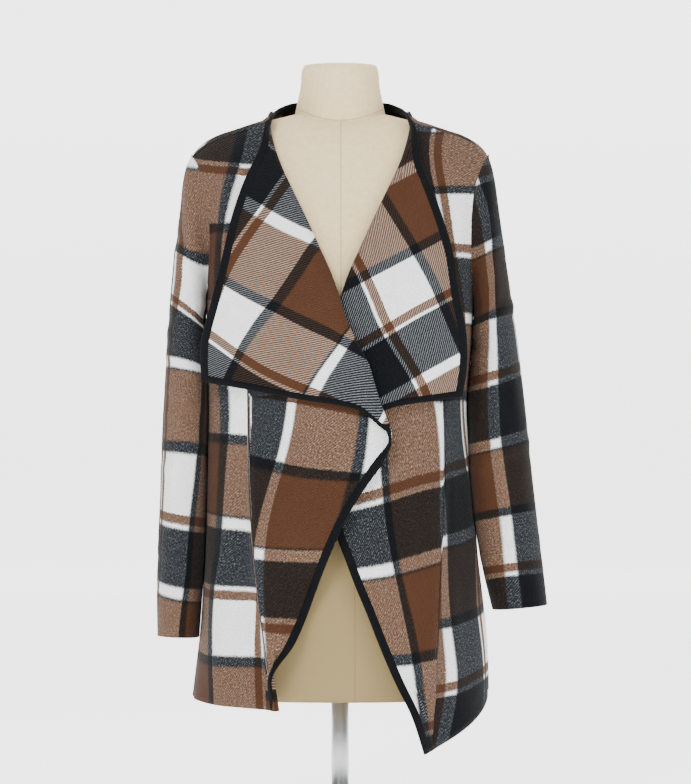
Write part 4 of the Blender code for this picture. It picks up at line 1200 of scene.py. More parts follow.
    def fold_under(self, points: Array) -> None:
        """Carry the cloth back under itself at the main fold.

        The formula moves the points between the fold's two columns towards the centre by a hump
        that has come back to nothing at the crest, so the cloth goes under, turns and returns.

        Args:
            points: The fine grid, which is changed in place.
        """
        start = self.tuck_start
        end = self.tuck_end
        t = np.linspace(0, 1, end - start + 1)
        fold = self.folds[0]
        z = points[:, start, 2]
        top_z = fold.top_z + TUCK_ABOVE
        way = np.clip((top_z - z) / (top_z - fold.low_z), 0.0, 1.0)
        low = 1 - (1 - self.tuck_low_share) * soft_step(way)
        share = soft_step(way * TUCK_GROWTH) * low
        hump = np.sin(math.pi * np.clip(t / TUCK_RETURN, 0, 1)) ** 2
        base_start = points[:, start][:, None]
        base_end = points[:, end][:, None]
        rise = soft_step(t)[None, :, None]
        line = base_start + (base_end - base_start) * t[None, :, None]
        line[..., 1] = (base_start + (base_end - base_start) * rise)[..., 1]
        mix = np.clip(share * TUCK_MIX, 0, 1)[:, None, None]
        band = points[:, start:end + 1]
        band = band * (1 - mix) + line * mix
        band[..., 0] -= self.side * self.tuck * share[:, None] * hump[None, :]
        points[:, start:end + 1] = band

    def lay_plaid(self, points: Array) -> None:
        """Set the flat map of every point, in metres of cloth.

        Args:
            points: The fine grid, before the cloth is folded under.
        """
        across = run_across(points)
        out = points[..., 0] * self.side
        reference = np.empty(len(points))
        for row in range(len(points)):
            reference[row] = np.interp(-PLAID_OUT, -out[row, :self.body_end],
                                       across[row, :self.body_end])
        place_x = self.side * (PLAID_OUT + reference[:, None] - across)
        places = np.stack([place_x, points[..., 2]], axis=-1)
        seen = points[..., [0, 2]]
        body = slice(0, self.body_end + 1)
        below = slice(0, self.turn_row)
        flat = np.zeros(points.shape[:2] + (2,))
        beyond = np.arange(points.shape[1]) - self.tuck_start
        share = soft_step(beyond / PLAID_TURN_COLUMNS)
        side_map = self.side_plaid.lay(places[:, body], seen[:, body])
        centre_map = self.centre_plaid.lay(seen[:, body], seen[:, body])
        # Above the lapel's turn the side's map serves the whole chest
        hanging = soft_step((PLAID_TURN_Z - points[:, body, 2]) / PLAID_TURN_HEIGHT)
        mix = (share[None, body] * hanging)[..., None]
        flat[:, body] = side_map * (1 - mix) + centre_map * mix
        strip = slice(self.body_end, self.roll_end + 1)
        flat[below, strip] = self.centre_plaid.lay(seen[below, strip], seen[below, strip])

        lapel = slice(self.body_end + 1, points.shape[1])
        top = slice(self.turn_row, len(points))
        roll_x = points[top, self.roll_end, 0][:, None]
        run = across[top, lapel] - across[top, self.roll_end][:, None]
        lapel_places = np.stack([roll_x + self.side * run, points[top, lapel, 2]], axis=-1)
        flat[top, lapel] = self.lapel_plaid.lay(lapel_places, seen[top, lapel])
        self.flat = flat * MM

    def cloth_cells(self) -> Array:
        """Choose the cells of the panel, all but those beyond the middle of the binding.

        Returns:
            Whether each cell is wanted, rows by columns.
        """
        rows, columns = self.points.shape[0] - 1, self.points.shape[1] - 1
        row = np.arange(rows)[:, None]
        column = np.arange(columns)[None, :]
        middle = (self.strip_column + self.roll_end) // 2
        half = self.strip_step // 2
        lower_edge = (row < self.turn_row + half) & (column >= middle)
        outer_edge = column >= columns - half
        return ~lower_edge & ~outer_edge

    def binding_lines(self) -> tuple[Array, Array, Array]:
        """Find the two lines of the bound edge, from the hem up to the neck.

        Returns:
            Points of the inner line and of the outer line, and their normals.
        """
        turn, strip, first, end = self.turn_row, self.strip_row, self.strip_column, self.roll_end
        top, last = self.points.shape[0] - 1, self.points.shape[1] - 1
        lapel = self.lapel_strip
        at_inner = grid_path(((0, first), (strip, first), (strip, lapel), (top, lapel)), held=2,
                             extra=last - lapel + strip - turn)
        at_outer = grid_path(((0, end), (turn, end), (turn, last), (top, last)), held=1,
                             extra=end - first + strip - turn)
        normals = unit(self.normals[at_inner] + self.normals[at_outer])
        return self.points[at_inner], self.points[at_outer], normals

    def build(self, finishes: "Finishes") -> list[bpy.types.Object]:
        """Make the panel and its binding.

        Args:
            finishes: The garment's finishes.

        Returns:
            The panel's object and the binding's.
        """
        self.fine_grid()
        sheet = Sheet(f"{self.name}_cloth", self.points, self.flat, self.cloth_cells(),
                      turned=self.side > 0)
        panel = sheet.build(finishes.face, finishes.wrong)
        self.area = sheet.area()
        binding = Binding(f"{self.name}_bound_edge", *self.binding_lines()).build(finishes.knit)
        return [panel, binding]


@dataclass
class Back:
    """The back panel over both shoulders, and the binding round the neck.

    The binding covers the panel's neck edge by binding_cover, in millimetres.
    """

    name: str
    side_hems: tuple[float, float]
    plaid: PlaidMap
    creases: tuple[Crease, ...] = ()
    row_step: int = 6
    column_step: int = 5
    upper_step: int = 4
    binding_points: int = 120
    binding_cover: float = 3.0

    def neck_lines(self, ends: Sequence[tuple[Array, Array]], count: int) -> tuple[Array, ...]:
        """Neck edge, its upward direction and the cloth below it, from right seam to left seam.

        Args:
            ends: Point and upward direction of the neck edge at each shoulder seam.
            count: How many points to give.

        Returns:
            The edge, the upward directions and the base, each count by 3.
        """
        (right_point, right_up), (left_point, left_up) = ends
        half = [(-row.x, row.y, row.z) for row in NECK_EDGE]
        edge = self.mirrored(np.array(half, dtype=float))
        up = self.mirrored(np.array([(row.lean_in, -row.lean_forward, 1.0) for row in NECK_EDGE]))
        half = [(-row.base_x, row.base_y, row.base_z) for row in NECK_EDGE]
        base = self.mirrored(np.array(half, dtype=float))
        seam_base = np.array(SEAM_END_BASE)
        edge = np.concatenate([[right_point], edge, [left_point]])
        up = np.concatenate([[right_up], unit(up), [left_up]])
        base = np.concatenate([[seam_base * (-1.0, 1.0, 1.0)], base, [seam_base]])
        run = np.concatenate([[0.0], np.cumsum(np.linalg.norm(np.diff(edge, axis=0), axis=1))])
        where = np.linspace(0, run[-1], count)
        lines = []
        for line in (edge, up, base):
            lines.append(np.stack([smooth_curve(run, line[:, k])(where) for k in range(3)], axis=1))
        return lines[0], unit(lines[1]), lines[2]

    def mirrored(self, points: Array) -> Array:
        """A run of points on the wearer's right, carried on through the centre to the left."""
        return np.concatenate([points, (points * (-1.0, 1.0, 1.0))[-2::-1]])

    def coarse_grid(self, neck_edge: Array, neck_base: Array) -> Array:
        """Coarse grid: columns from the right side seam to the left, rows from hem to top.

        Args:
            neck_edge: Points of the neck edge, one for each neck column.
            neck_base: Points of the cloth just below it.

        Returns:
            Points, rows by columns by 3.
        """
        shoulder = BACK_SHOULDER_COLUMNS
        neck = BACK_NECK_COLUMNS
        columns = 2 * (shoulder + neck)
        angle_low = np.linspace(0, math.pi, columns + 1)
        arm_top = armhole_x(math.degrees(SEAM_FORWARD))
        shoulder_x = np.linspace(arm_top, BACK_SEAM_INNER_X, shoulder + 1)[:-1]
        neck_x = np.linspace(BACK_SEAM_INNER_X, 0, neck + 1)
        top_x = np.concatenate([-shoulder_x, -neck_x, neck_x[-2::-1], shoulder_x[::-1]])
        on_right = np.arange(columns + 1) <= columns // 2
        sides = np.where(on_right, -1, 1)[None, :]

        share = np.linspace(0, 1, BACK_LOWER_ROWS + 1)[:, None]
        side_hem = np.where(on_right, self.side_hems[0], self.side_hems[1])
        hem = side_hem + (BACK_HEM_Z - side_hem) * np.sin(angle_low)
        z_low = hem[None, :] + (BUST_Z - hem)[None, :] * share
        x_low = -half_width(sides, z_low) * power_wave(np.cos(angle_low), BODY_POWER)[None, :]
        y_low = depth_back(z_low) * power_wave(np.sin(angle_low), BODY_POWER)[None, :]
        lower = np.stack([x_low, y_low, z_low], axis=-1)

        # The shoulder columns run over the shoulder line; the neck columns stop a row earlier
        angles = np.asarray(BACK_UPPER_ANGLES[1:], dtype=float)
        inner = np.abs(np.arange(columns + 1) - columns // 2) < neck
        top_x[inner] = neck_base[:, 0]
        ahead = neck_base[:, 1] < 0
        most = np.where(ahead, depth_front(BUST_Z), depth_back(BUST_Z))
        power = np.where(ahead, SHOULDER_POWER_FRONT, SHOULDER_POWER_BACK)
        at_top = side_share(top_x[inner], half_right(ARMHOLE_TOP_Z))
        depth_share = np.abs(neck_base[:, 1]) / (most * at_top)
        top_angle = np.full(columns + 1, float(BACK_UPPER_ANGLES[-1]))
        slope = np.degrees(np.arcsin(depth_share ** (power / 2)))
        top_angle[inner] = slope * np.where(ahead, 1, -1)
        way = np.repeat(((angles + 90.0) / (angles[-1] + 90.0))[:, None], columns + 1, axis=1)
        way[:, inner] = np.minimum((angles + 90.0) / (angles[-2] + 90.0), 1.0)[:, None]
        turn = -90.0 + (top_angle[None, :] + 90.0) * way
        ratio = top_x / half_right(ARMHOLE_TOP_Z)
        angle_top = np.arccos(-np.sign(ratio) * np.abs(ratio) ** (BODY_POWER / 2))
        arm_now = armhole_x(np.abs(angles))
        mix = soft_step(way)
        mixed = angle_low[None, :] * (1 - mix) + angle_top[None, :] * mix
        z_guess = BUST_Z + MEAN_SHOULDER_RISE * np.cos(np.radians(np.abs(turn)))
        cos_mixed = -power_wave(np.cos(mixed), BODY_POWER)
        x_up = half_width(sides, z_guess) * cos_mixed
        edge_scale = arm_now[:, None] / np.maximum(np.abs(x_up[:, [0, -1]]), 1.0)
        scale = np.where(on_right[None, :], edge_scale[:, :1], edge_scale[:, 1:])
        x_up = x_up * (1 + (scale - 1) * np.abs(cos_mixed) ** SIDE_PULL_POWER)
        x_up[:, 0] = -arm_now
        x_up[:, -1] = arm_now

        is_front = turn > 0
        power = np.where(is_front, SHOULDER_POWER_FRONT, SHOULDER_POWER_BACK)
        ridge = np.where(is_front, ridge_front(np.abs(x_up)), ridge_back(np.abs(x_up)))
        z_up = height_at(np.cos(np.radians(np.abs(turn))) ** (2.0 / power), ridge)
        y_back = body_depth(x_up, z_up, False)
        y_up = np.where(is_front, -body_depth(x_up, z_up, True), y_back)
        upper = np.stack([x_up, y_up, z_up], axis=-1)
        fade = np.clip((way[:, inner] - NECK_FADE_START) / (1 - NECK_FADE_START), 0, 1) ** 2
        upper[:, inner] += (neck_base - upper[-2, inner])[None] * fade[..., None]
        upper[-1, inner] = neck_edge
        return np.concatenate([lower, upper])

    def build(self, ends: Sequence[tuple[Array, Array]],
              finishes: "Finishes") -> list[bpy.types.Object]:
        """Make the panel and the neck binding.

        Args:
            ends: Where the fronts' binding ends at each shoulder seam, and which way it stands.
            finishes: The garment's finishes.

        Returns:
            The panel's object and the binding's.
        """
        edge, up, base = self.neck_lines(ends, 2 * BACK_NECK_COLUMNS - 1)
        coarse = self.coarse_grid(edge + up * self.binding_cover, base)
        upper_steps = [self.upper_step] * (len(BACK_UPPER_ANGLES) - 1)
        row_steps = [self.row_step] * BACK_LOWER_ROWS + upper_steps
        columns = coarse.shape[1] - 1
        points = spline_columns(spline_rows(coarse, row_steps), [self.column_step] * columns)
        normals = -grid_normals(points)
        run = run_across(points)
        middle = run.shape[1] // 2
        up_run = run_length(points)
        level = BACK_LOWER_ROWS * self.row_step
        flat = np.stack([run - run[:, middle:middle + 1],
                         up_run - up_run[level:level + 1] + BUST_Z], axis=-1)
        uv = self.plaid.lay(flat, flat) * MM
        height = crease_height(self.creases, -points[..., 0], points[..., 2])
        height[level + BACK_CREASE_ROWS:] = 0.0
        height += seam_dip(run) + seam_dip(run[:, -1:] - run)
        shoulder = BACK_SHOULDER_COLUMNS * self.column_step
        seam = seam_dip(up_run[-1:] - up_run)
        seam[:, shoulder:-shoulder] = 0.0
        points = points + normals * (height + seam)[..., None]
        cells = np.ones((points.shape[0] - 1, points.shape[1] - 1), dtype=bool)
        sheet = Sheet(self.name, points, uv, cells, turned=True)
        panel = sheet.build(finishes.face, finishes.wrong)
        self.area = sheet.area()

        edge, up, base = self.neck_lines(ends, self.binding_points)
        outer = edge + up * BINDING_WIDTH
        strip = np.stack([edge, outer])
        normals = -grid_normals(strip)[0]
        binding = Binding(f"{self.name}_neck_edge", edge, outer, normals).build(finishes.knit)
        return [panel, binding]


# Moves the far half of a tube out of reach of anchors seen from the front
BEHIND = 5000.0


@dataclass
class Sleeve:
    """One long sleeve, open at the armhole and at the cuff."""

    name: str
    side: int
    rings: tuple[SleeveRing, ...]
    plaid: PlaidMap
    creases: tuple[Crease, ...] = ()
    row_step: int = 12
    column_step: int = 6
    seam_gap: float = 0.3

    def armhole_loop(self, angles: Array) -> tuple[Array, Array]:
        """Edge of the armhole.

        Args:
            angles: Angles from the shoulder line in degrees, positive in front.

        Returns:
            Points of the edge, and the normals of the body's cloth there.
        """
        turned = np.radians(np.abs(angles))
        power = np.where(angles > 0, SHOULDER_POWER_FRONT, SHOULDER_POWER_BACK)
        x = armhole_x(np.abs(angles))
        z = height_at(np.cos(turned) ** (2.0 / power), ridge_front(x))
        edge = self.body_points(angles, x, z)
        step = SLOPE_STEP
        across = self.body_points(angles, x + step, z) - self.body_points(angles, x - step, z)
        along = self.body_points(angles, x, z + step) - self.body_points(angles, x, z - step)
        normal = unit(np.cross(across, along))
        sideways, upwards = np.full_like(x, self.side), np.full_like(x, FACING_RISE)
        facing = np.stack([sideways, np.sign(edge[:, 1]), upwards], axis=-1)
        normal = normal * np.sign(np.sum(normal * facing, axis=1, keepdims=True))
        normal[np.abs(angles) > UNDERARM_ANGLE] = (self.side, 0.0, 0.0)
        return edge, normal

    def body_points(self, angles: Array, distance: Array, height: Array) -> Array:
        """Points of the body's cloth beside the armhole.

        Args:
            angles: Angles from the shoulder line, positive in front.
            distance: Distance out from the centre line.
            height: Height.

        Returns:
            The points.
        """
        signed = self.side * distance
        front = -body_depth(signed, height, True)
        back = body_depth(signed, height, False)
        return np.stack([signed, np.where(angles > 0, front, back), height], axis=-1)

    def coarse_grid(self) -> Array:
        """Coarse grid: rows from the armhole to the cuff, columns round the tube.

        Returns:
            Points, rows by columns by 3.
        """
        angles = np.array(SLEEVE_ANGLES, dtype=float)
        edge, edge_normal = self.armhole_loop(angles)
        ring = np.concatenate([edge[-1:], edge, edge[:1]])
        tangent = row_directions(ring)[1:-1]
        away = unit(np.cross(tangent, edge_normal))
        heading = np.array(ARMHOLE_CENTRE) * (self.side, 1.0, 1.0) - edge
        away = away * np.sign(np.sum(away * heading, axis=1, keepdims=True))
        loop = edge + away * self.seam_gap
        turned = np.radians(2.0 * angles)
        way = np.linspace(0, 1, SLEEVE_ROWS + 1) ** SLEEVE_ROW_POWER
        keys = np.linspace(0, 1, len(self.rings))
        columns = {name: smooth_curve(keys, [getattr(ring, name) for ring in self.rings])(way)
                   for name in SleeveRing._fields}
        half_x = (columns["outer_x"] - columns["inner_x"]) / 2
        half_z = (columns["outer_z"] - columns["inner_z"]) / 2
        cosine = power_wave(np.cos(turned), SLEEVE_POWER)[None, :]
        sine = power_wave(np.sin(turned), SLEEVE_POWER)[None, :]
        x = (columns["outer_x"] - half_x)[:, None] + half_x[:, None] * cosine
        z = (columns["outer_z"] - half_z)[:, None] + half_z[:, None] * cosine
        y = -columns["half_depth"][:, None] * sine
        tube = np.stack([self.side * x, y, z], axis=-1)
        fade = (np.clip(1 - way / SLEEVE_HEAD_SHARE, 0, 1) ** 2)[:, None, None]
        return tube + (loop - tube[0])[None] * fade

    def build(self, finishes: "Finishes") -> list[bpy.types.Object]:
        """Make the sleeve.

        Args:
            finishes: The garment's finishes.

        Returns:
            The sleeve's object, in a list.
        """
        coarse = self.coarse_grid()
        # The loop opens at the underarm seam, under the arm, so that the flat map has its cut there
        around = [self.column_step] * coarse.shape[1]
        points = spline_rows(coarse, [self.row_step] * SLEEVE_ROWS)
        wrapped = np.concatenate([points[:, -2:], points, points[:, :3]], axis=1)
        fine = spline_columns(wrapped, [1, self.column_step] + around + [1, 1])
        start = 1 + self.column_step
        points = fine[:, start:start + self.column_step * len(around) + 1]
        run = run_across(points)
        middle = run.shape[1] // 2
        across = run - run[:, middle:middle + 1]
        # In the head, stripes follow the columns of the first level ring
        level = int(SLEEVE_HEAD_SHARE ** (1.0 / SLEEVE_ROW_POWER) * (len(points) - 1))
        across[:level] = across[level]
        place = np.stack([-self.side * across, points[..., 2]], axis=-1)
        seen = points[..., [0, 2]].copy()
        seen[:, :middle] += BEHIND
        uv = self.plaid.lay(place, seen) * MM
        height = crease_height(self.creases, points[..., 0], points[..., 2])
        height += seam_dip(run_length(points), ARMHOLE_DIP)
        self.points = points + grid_normals(points) * -self.side * height[..., None]
        cells = np.ones((points.shape[0] - 1, points.shape[1] - 1), dtype=bool)
        sheet = Sheet(self.name, self.points, uv, cells, closed=True, turned=self.side < 0)
        tube = sheet.build(finishes.face, finishes.wrong)
        self.area = sheet.area()
        return [tube]


class FormGirth(NamedTuple):
    """Section of the dress form's torso at one height."""

    z: float
    side: float
    front: float
    back: float


FORM = table(FormGirth,
    (160, 146, 98, 92), (190, 153, 102, 95), (250, 157, 104, 97), (320, 150, 99, 94),
    (400, 132, 90, 84), (475, 122, 85, 76), (540, 128, 92, 78), (600, 140, 105, 86),
    (655, 150, 112, 92), (720, 157, 111, 93), (790, 166, 110, 93), (900, 176, 110, 93),
)


class NeckRing(NamedTuple):
    """A section of the form's neck."""

    z: float
    side: float
    depth: float
    centre_y: float


NECK = table(NeckRing,
    (850, 58, 46, 14), (895, 58, 52, 10), (915, 54, 52, 6), (935, 50, 50, 2), (955, 48, 49, 0),
    (960, 46, 47, 0),
)


@dataclass
class DressForm:
    """The limbless torso and its neck, each one closed skin."""

    clearance: float = 1.7
    side_blend: float = 1.5
    columns: int = 160
    lower_rows: int = 60
    upper_rows: int = 40
    top_angle: float = 2.0
    neck_columns: int = 96
    neck_rows: int = 40
    rim: float = 1.5
    rim_edge: float = 0.4
    rim_inset: float = 1.0

    def torso_loops(self) -> Array:
        """Loops of the torso from the foot to the shoulder line.

        The formula below the bust is a rounded ellipse. Above it each loop follows the slope of
        the shoulder line, and its depth shrinks as on the garment.

        Returns:
            Points, loops by columns by 3.
        """
        side = column_curve(FORM, "z", "side")
        front = column_curve(FORM, "z", "front")
        back = column_curve(FORM, "z", "back")
        angle = np.linspace(0, 2 * math.pi, self.columns, endpoint=False)
        cosine = power_wave(np.cos(angle), BODY_POWER)[None, :]
        sine = power_wave(np.sin(angle), BODY_POWER)[None, :]
        low_z = np.linspace(FORM_FOOT_Z, BUST_Z, self.lower_rows + 1)[:-1, None]
        depth = np.where(sine < 0, front(low_z), back(low_z))
        lower = np.stack(np.broadcast_arrays(side(low_z) * cosine, depth * sine, low_z), axis=-1)

        turn = np.radians(np.linspace(90.0, self.top_angle, self.upper_rows))[:, None]
        x = side(BUST_Z + MEAN_SHOULDER_RISE * np.cos(turn)) * cosine
        ridge = ridge_front(np.abs(x)) - self.clearance
        rise_back = np.cos(turn) ** (2.0 / SHOULDER_POWER_BACK)
        mix = soft_step(np.abs(sine) * self.side_blend)
        rise = np.where(sine < 0, np.cos(turn), np.cos(turn) + (rise_back - np.cos(turn)) * mix)
        z = height_at(rise, ridge)
        swell_back = np.sin(turn) ** (2.0 / SHOULDER_POWER_BACK)
        swell = np.where(sine < 0, front(z) * np.sin(turn), back(z) * swell_back)
        upper = np.stack(np.broadcast_arrays(x, swell * sine, z), axis=-1)
        return np.concatenate([lower, upper])

    def neck_loops(self) -> Array:
        """Loops of the neck, a little rounded at its cut top.

        Returns:
            Points, loops by columns by 3.
        """
        angle = np.linspace(0, 2 * math.pi, self.neck_columns, endpoint=False)
        keys = [ring.z for ring in NECK]
        low, top = keys[0], keys[-1]
        z = np.concatenate([np.linspace(low, top - self.rim, self.neck_rows),
                            [top - self.rim_edge, top]])
        side = column_curve(NECK, "z", "side")(z)
        depth = column_curve(NECK, "z", "depth")(z)
        side[-1] -= self.rim_inset
        depth[-1] -= self.rim_inset
        middle = column_curve(NECK, "z", "centre_y")(z)
        x = side[:, None] * np.cos(angle)
        y = middle[:, None] + depth[:, None] * np.sin(angle)
        return np.stack(np.broadcast_arrays(x, y, z[:, None]), axis=-1)

    def build(self, finishes: "Finishes") -> list[bpy.types.Object]:
        """Make the torso and the neck.

        Args:
            finishes: The finishes.

        Returns:
            Both objects.
        """
        return [add_tube("form_torso_cover", self.torso_loops(), finishes.linen),
                add_tube("form_neck_cover", self.neck_loops(), finishes.linen)]


@dataclass
class Stand:
    """The post under the torso and the round base."""

    post_radius: float = 11.0
    base_radius: float = 150.0
    base_height: float = 18.0
    base_edge: float = 5.0
    touch_gap: float = 0.3
    post_bevel: float = 0.4
    foot_bevel: float = 0.5
    foot_ring: float = 0.94
    edge_rings: int = 9
    top_rings: tuple[float, float] = (0.9, 0.3)
    sides: int = 96

    def turned(self, profile: Sequence[tuple[float, float]]) -> Array:
        """Loops of a turned piece.

        Args:
            profile: Pairs of radius and height.

        Returns:
            Points, loops by columns by 3.
        """
        angle = np.linspace(0, 2 * math.pi, self.sides, endpoint=False)
        pairs = np.array(profile, dtype=float)
        x = pairs[:, :1] * np.cos(angle)
        y = pairs[:, :1] * np.sin(angle)
        return np.stack(np.broadcast_arrays(x, y, pairs[:, 1:]), axis=-1)

    def build(self, finishes: "Finishes") -> list[bpy.types.Object]:
        """Make the post and the base.

        Args:
            finishes: The finishes.

        Returns:
            Both objects.
        """
        low = self.base_height + self.touch_gap
        high = FORM_FOOT_Z - self.touch_gap
        radius = self.post_radius
        bevel = self.post_bevel
        post = self.turned(((radius - bevel, low), (radius, low + bevel), (radius, high - bevel),
                            (radius - bevel, high)))
        rim = self.base_radius
        turn = np.linspace(0, math.pi / 2, self.edge_rings)
        edge = [(rim - self.base_edge * (1 - math.cos(t)),
                 self.base_height - self.base_edge * (1 - math.sin(t))) for t in turn]
        foot = self.foot_bevel
        inner = [(share * rim, self.base_height) for share in self.top_rings]
        under = ((self.foot_ring * rim, 0.0), (rim - foot, 0.0), (rim, foot))
        base = self.turned((*under, *edge, *inner))
        return [add_tube("steel_post", post, finishes.steel),
                add_tube("round_base", base, finishes.lacquer)]


def srgb(code: str) -> tuple[float, float, float, float]:
    """Linear colour of an sRGB hex code."""
    parts = [int(code[i:i + 2], 16) / 255 for i in (1, 3, 5)]
    curved = [((part + 0.055) / 1.055) ** 2.4 for part in parts]
    return (*(part / 12.92 if part <= 0.04045 else high for part, high in zip(parts, curved)), 1.0)


class Yarn(Enum):
    """Dyed yarns of the plaid."""

    BLACK = "#07090C"
    WHITE = "#DEE0DF"
    RUST = "#3F2719"


class Stripe(NamedTuple):
    """Where a stripe of the repeat starts, in millimetres, and its yarn."""

    start: float
    yarn: Yarn


# The repeat both ways in millimetres, and the linear lightness of the white yarn
REPEAT = 267.0
WHITE_SHARE = 0.73
# The lengthwise stripes have no thin black before the narrow white, as the crosswise ones have
LENGTHWISE = table(Stripe,
    (0, Yarn.WHITE), (67, Yarn.BLACK), (81, Yarn.RUST), (167, Yarn.WHITE), (181, Yarn.BLACK),
    (251, Yarn.WHITE), (255, Yarn.RUST),
)
CROSSWISE = table(Stripe,
    (0, Yarn.WHITE), (67, Yarn.BLACK), (81, Yarn.RUST), (165, Yarn.BLACK), (169, Yarn.WHITE),
    (181, Yarn.BLACK), (251, Yarn.WHITE), (255, Yarn.RUST),
)

# The cloth's own irregularities, in cells of noise to a metre. Its hairs and flecks are drawn
# coarser than real ones, so that they show
HAIR_SCALE = 620.0
CURL_SCALE = 430.0
FLECK_SCALE = 420.0
WOBBLE_SCALE = 260.0
CLOUD_SCALE = 26.0
# How far a twill line wanders and how high the nap stands, both in millimetres, how high the
# twill lines are beside the flecks, and how far the lightness goes up and down in large patches
WOBBLE = 1.4
NAP_HEIGHT = 1.1
TWILL_RELIEF = 0.35
CLOUD_DEPTH = 0.2


@dataclass
class Graph:
    """A material's node graph under construction."""

    material: bpy.types.Material

    @classmethod
    def start(cls, name: str) -> "Graph":
        """Make an empty material with a Principled shader and its output.

        Args:
            name: Name of the material.

        Returns:
            The graph.
        """
        material = bpy.data.materials.new(name)
        material.use_nodes = True
        material.node_tree.nodes.clear()
        graph = cls(material)
        graph.shader = graph.add("BsdfPrincipled")
        graph.add("OutputMaterial", {"Surface": graph.shader})
        return graph

    def put(self, term: object, into: bpy.types.NodeSocket) -> None:
        """Link a term to an input, or set the input to it.

        Args:
            term: A node, which stands for its first output in use, an output, or a value.
            into: The input.
        """
        if isinstance(term, bpy.types.Node):
            term = next(output for output in term.outputs if output.enabled)
        if isinstance(term, bpy.types.NodeSocket):
            self.material.node_tree.links.new(term, into)
        else:
            into.default_value = term

    def add(self, kind: str, terms: dict | tuple = (), stops: Sequence[tuple[float, str]] = (),
            **settings) -> bpy.types.Node:
        """Add a node with its settings, and with its inputs' links and values.

        Args:
            kind: Blender's name for the node's type, without its first word.
            terms: What goes into its inputs, by their names, or in the order of those in use.
            stops: Position and hex code of each stop of a colour ramp, from low to high.
            **settings: Attributes of the node.

        Returns:
            The node.
        """
        node = self.material.node_tree.nodes.new(f"ShaderNode{kind}")
        for name, setting in settings.items():
            setattr(node, name, setting)
        if stops:
            elements = node.color_ramp.elements
            for element, (position, _) in zip(elements, (stops[0], stops[-1])):
                element.position = position
            for position, _ in stops[1:-1]:
                elements.new(position)
            for element, (_, code) in zip(elements, stops):
                element.color = srgb(code)
        if isinstance(terms, dict):
            pairs = [(term, node.inputs[name]) for name, term in terms.items()]
        else:
            pairs = zip(terms, [into for into in node.inputs if into.enabled])
        for term, into in pairs:
            self.put(term, into)
        return node

    def surface(self, terms: dict) -> None:
        """Link terms to the shader's own sockets, or set the sockets to them, by their names."""
        for name, term in terms.items():
            self.put(term, self.shader.inputs[name])


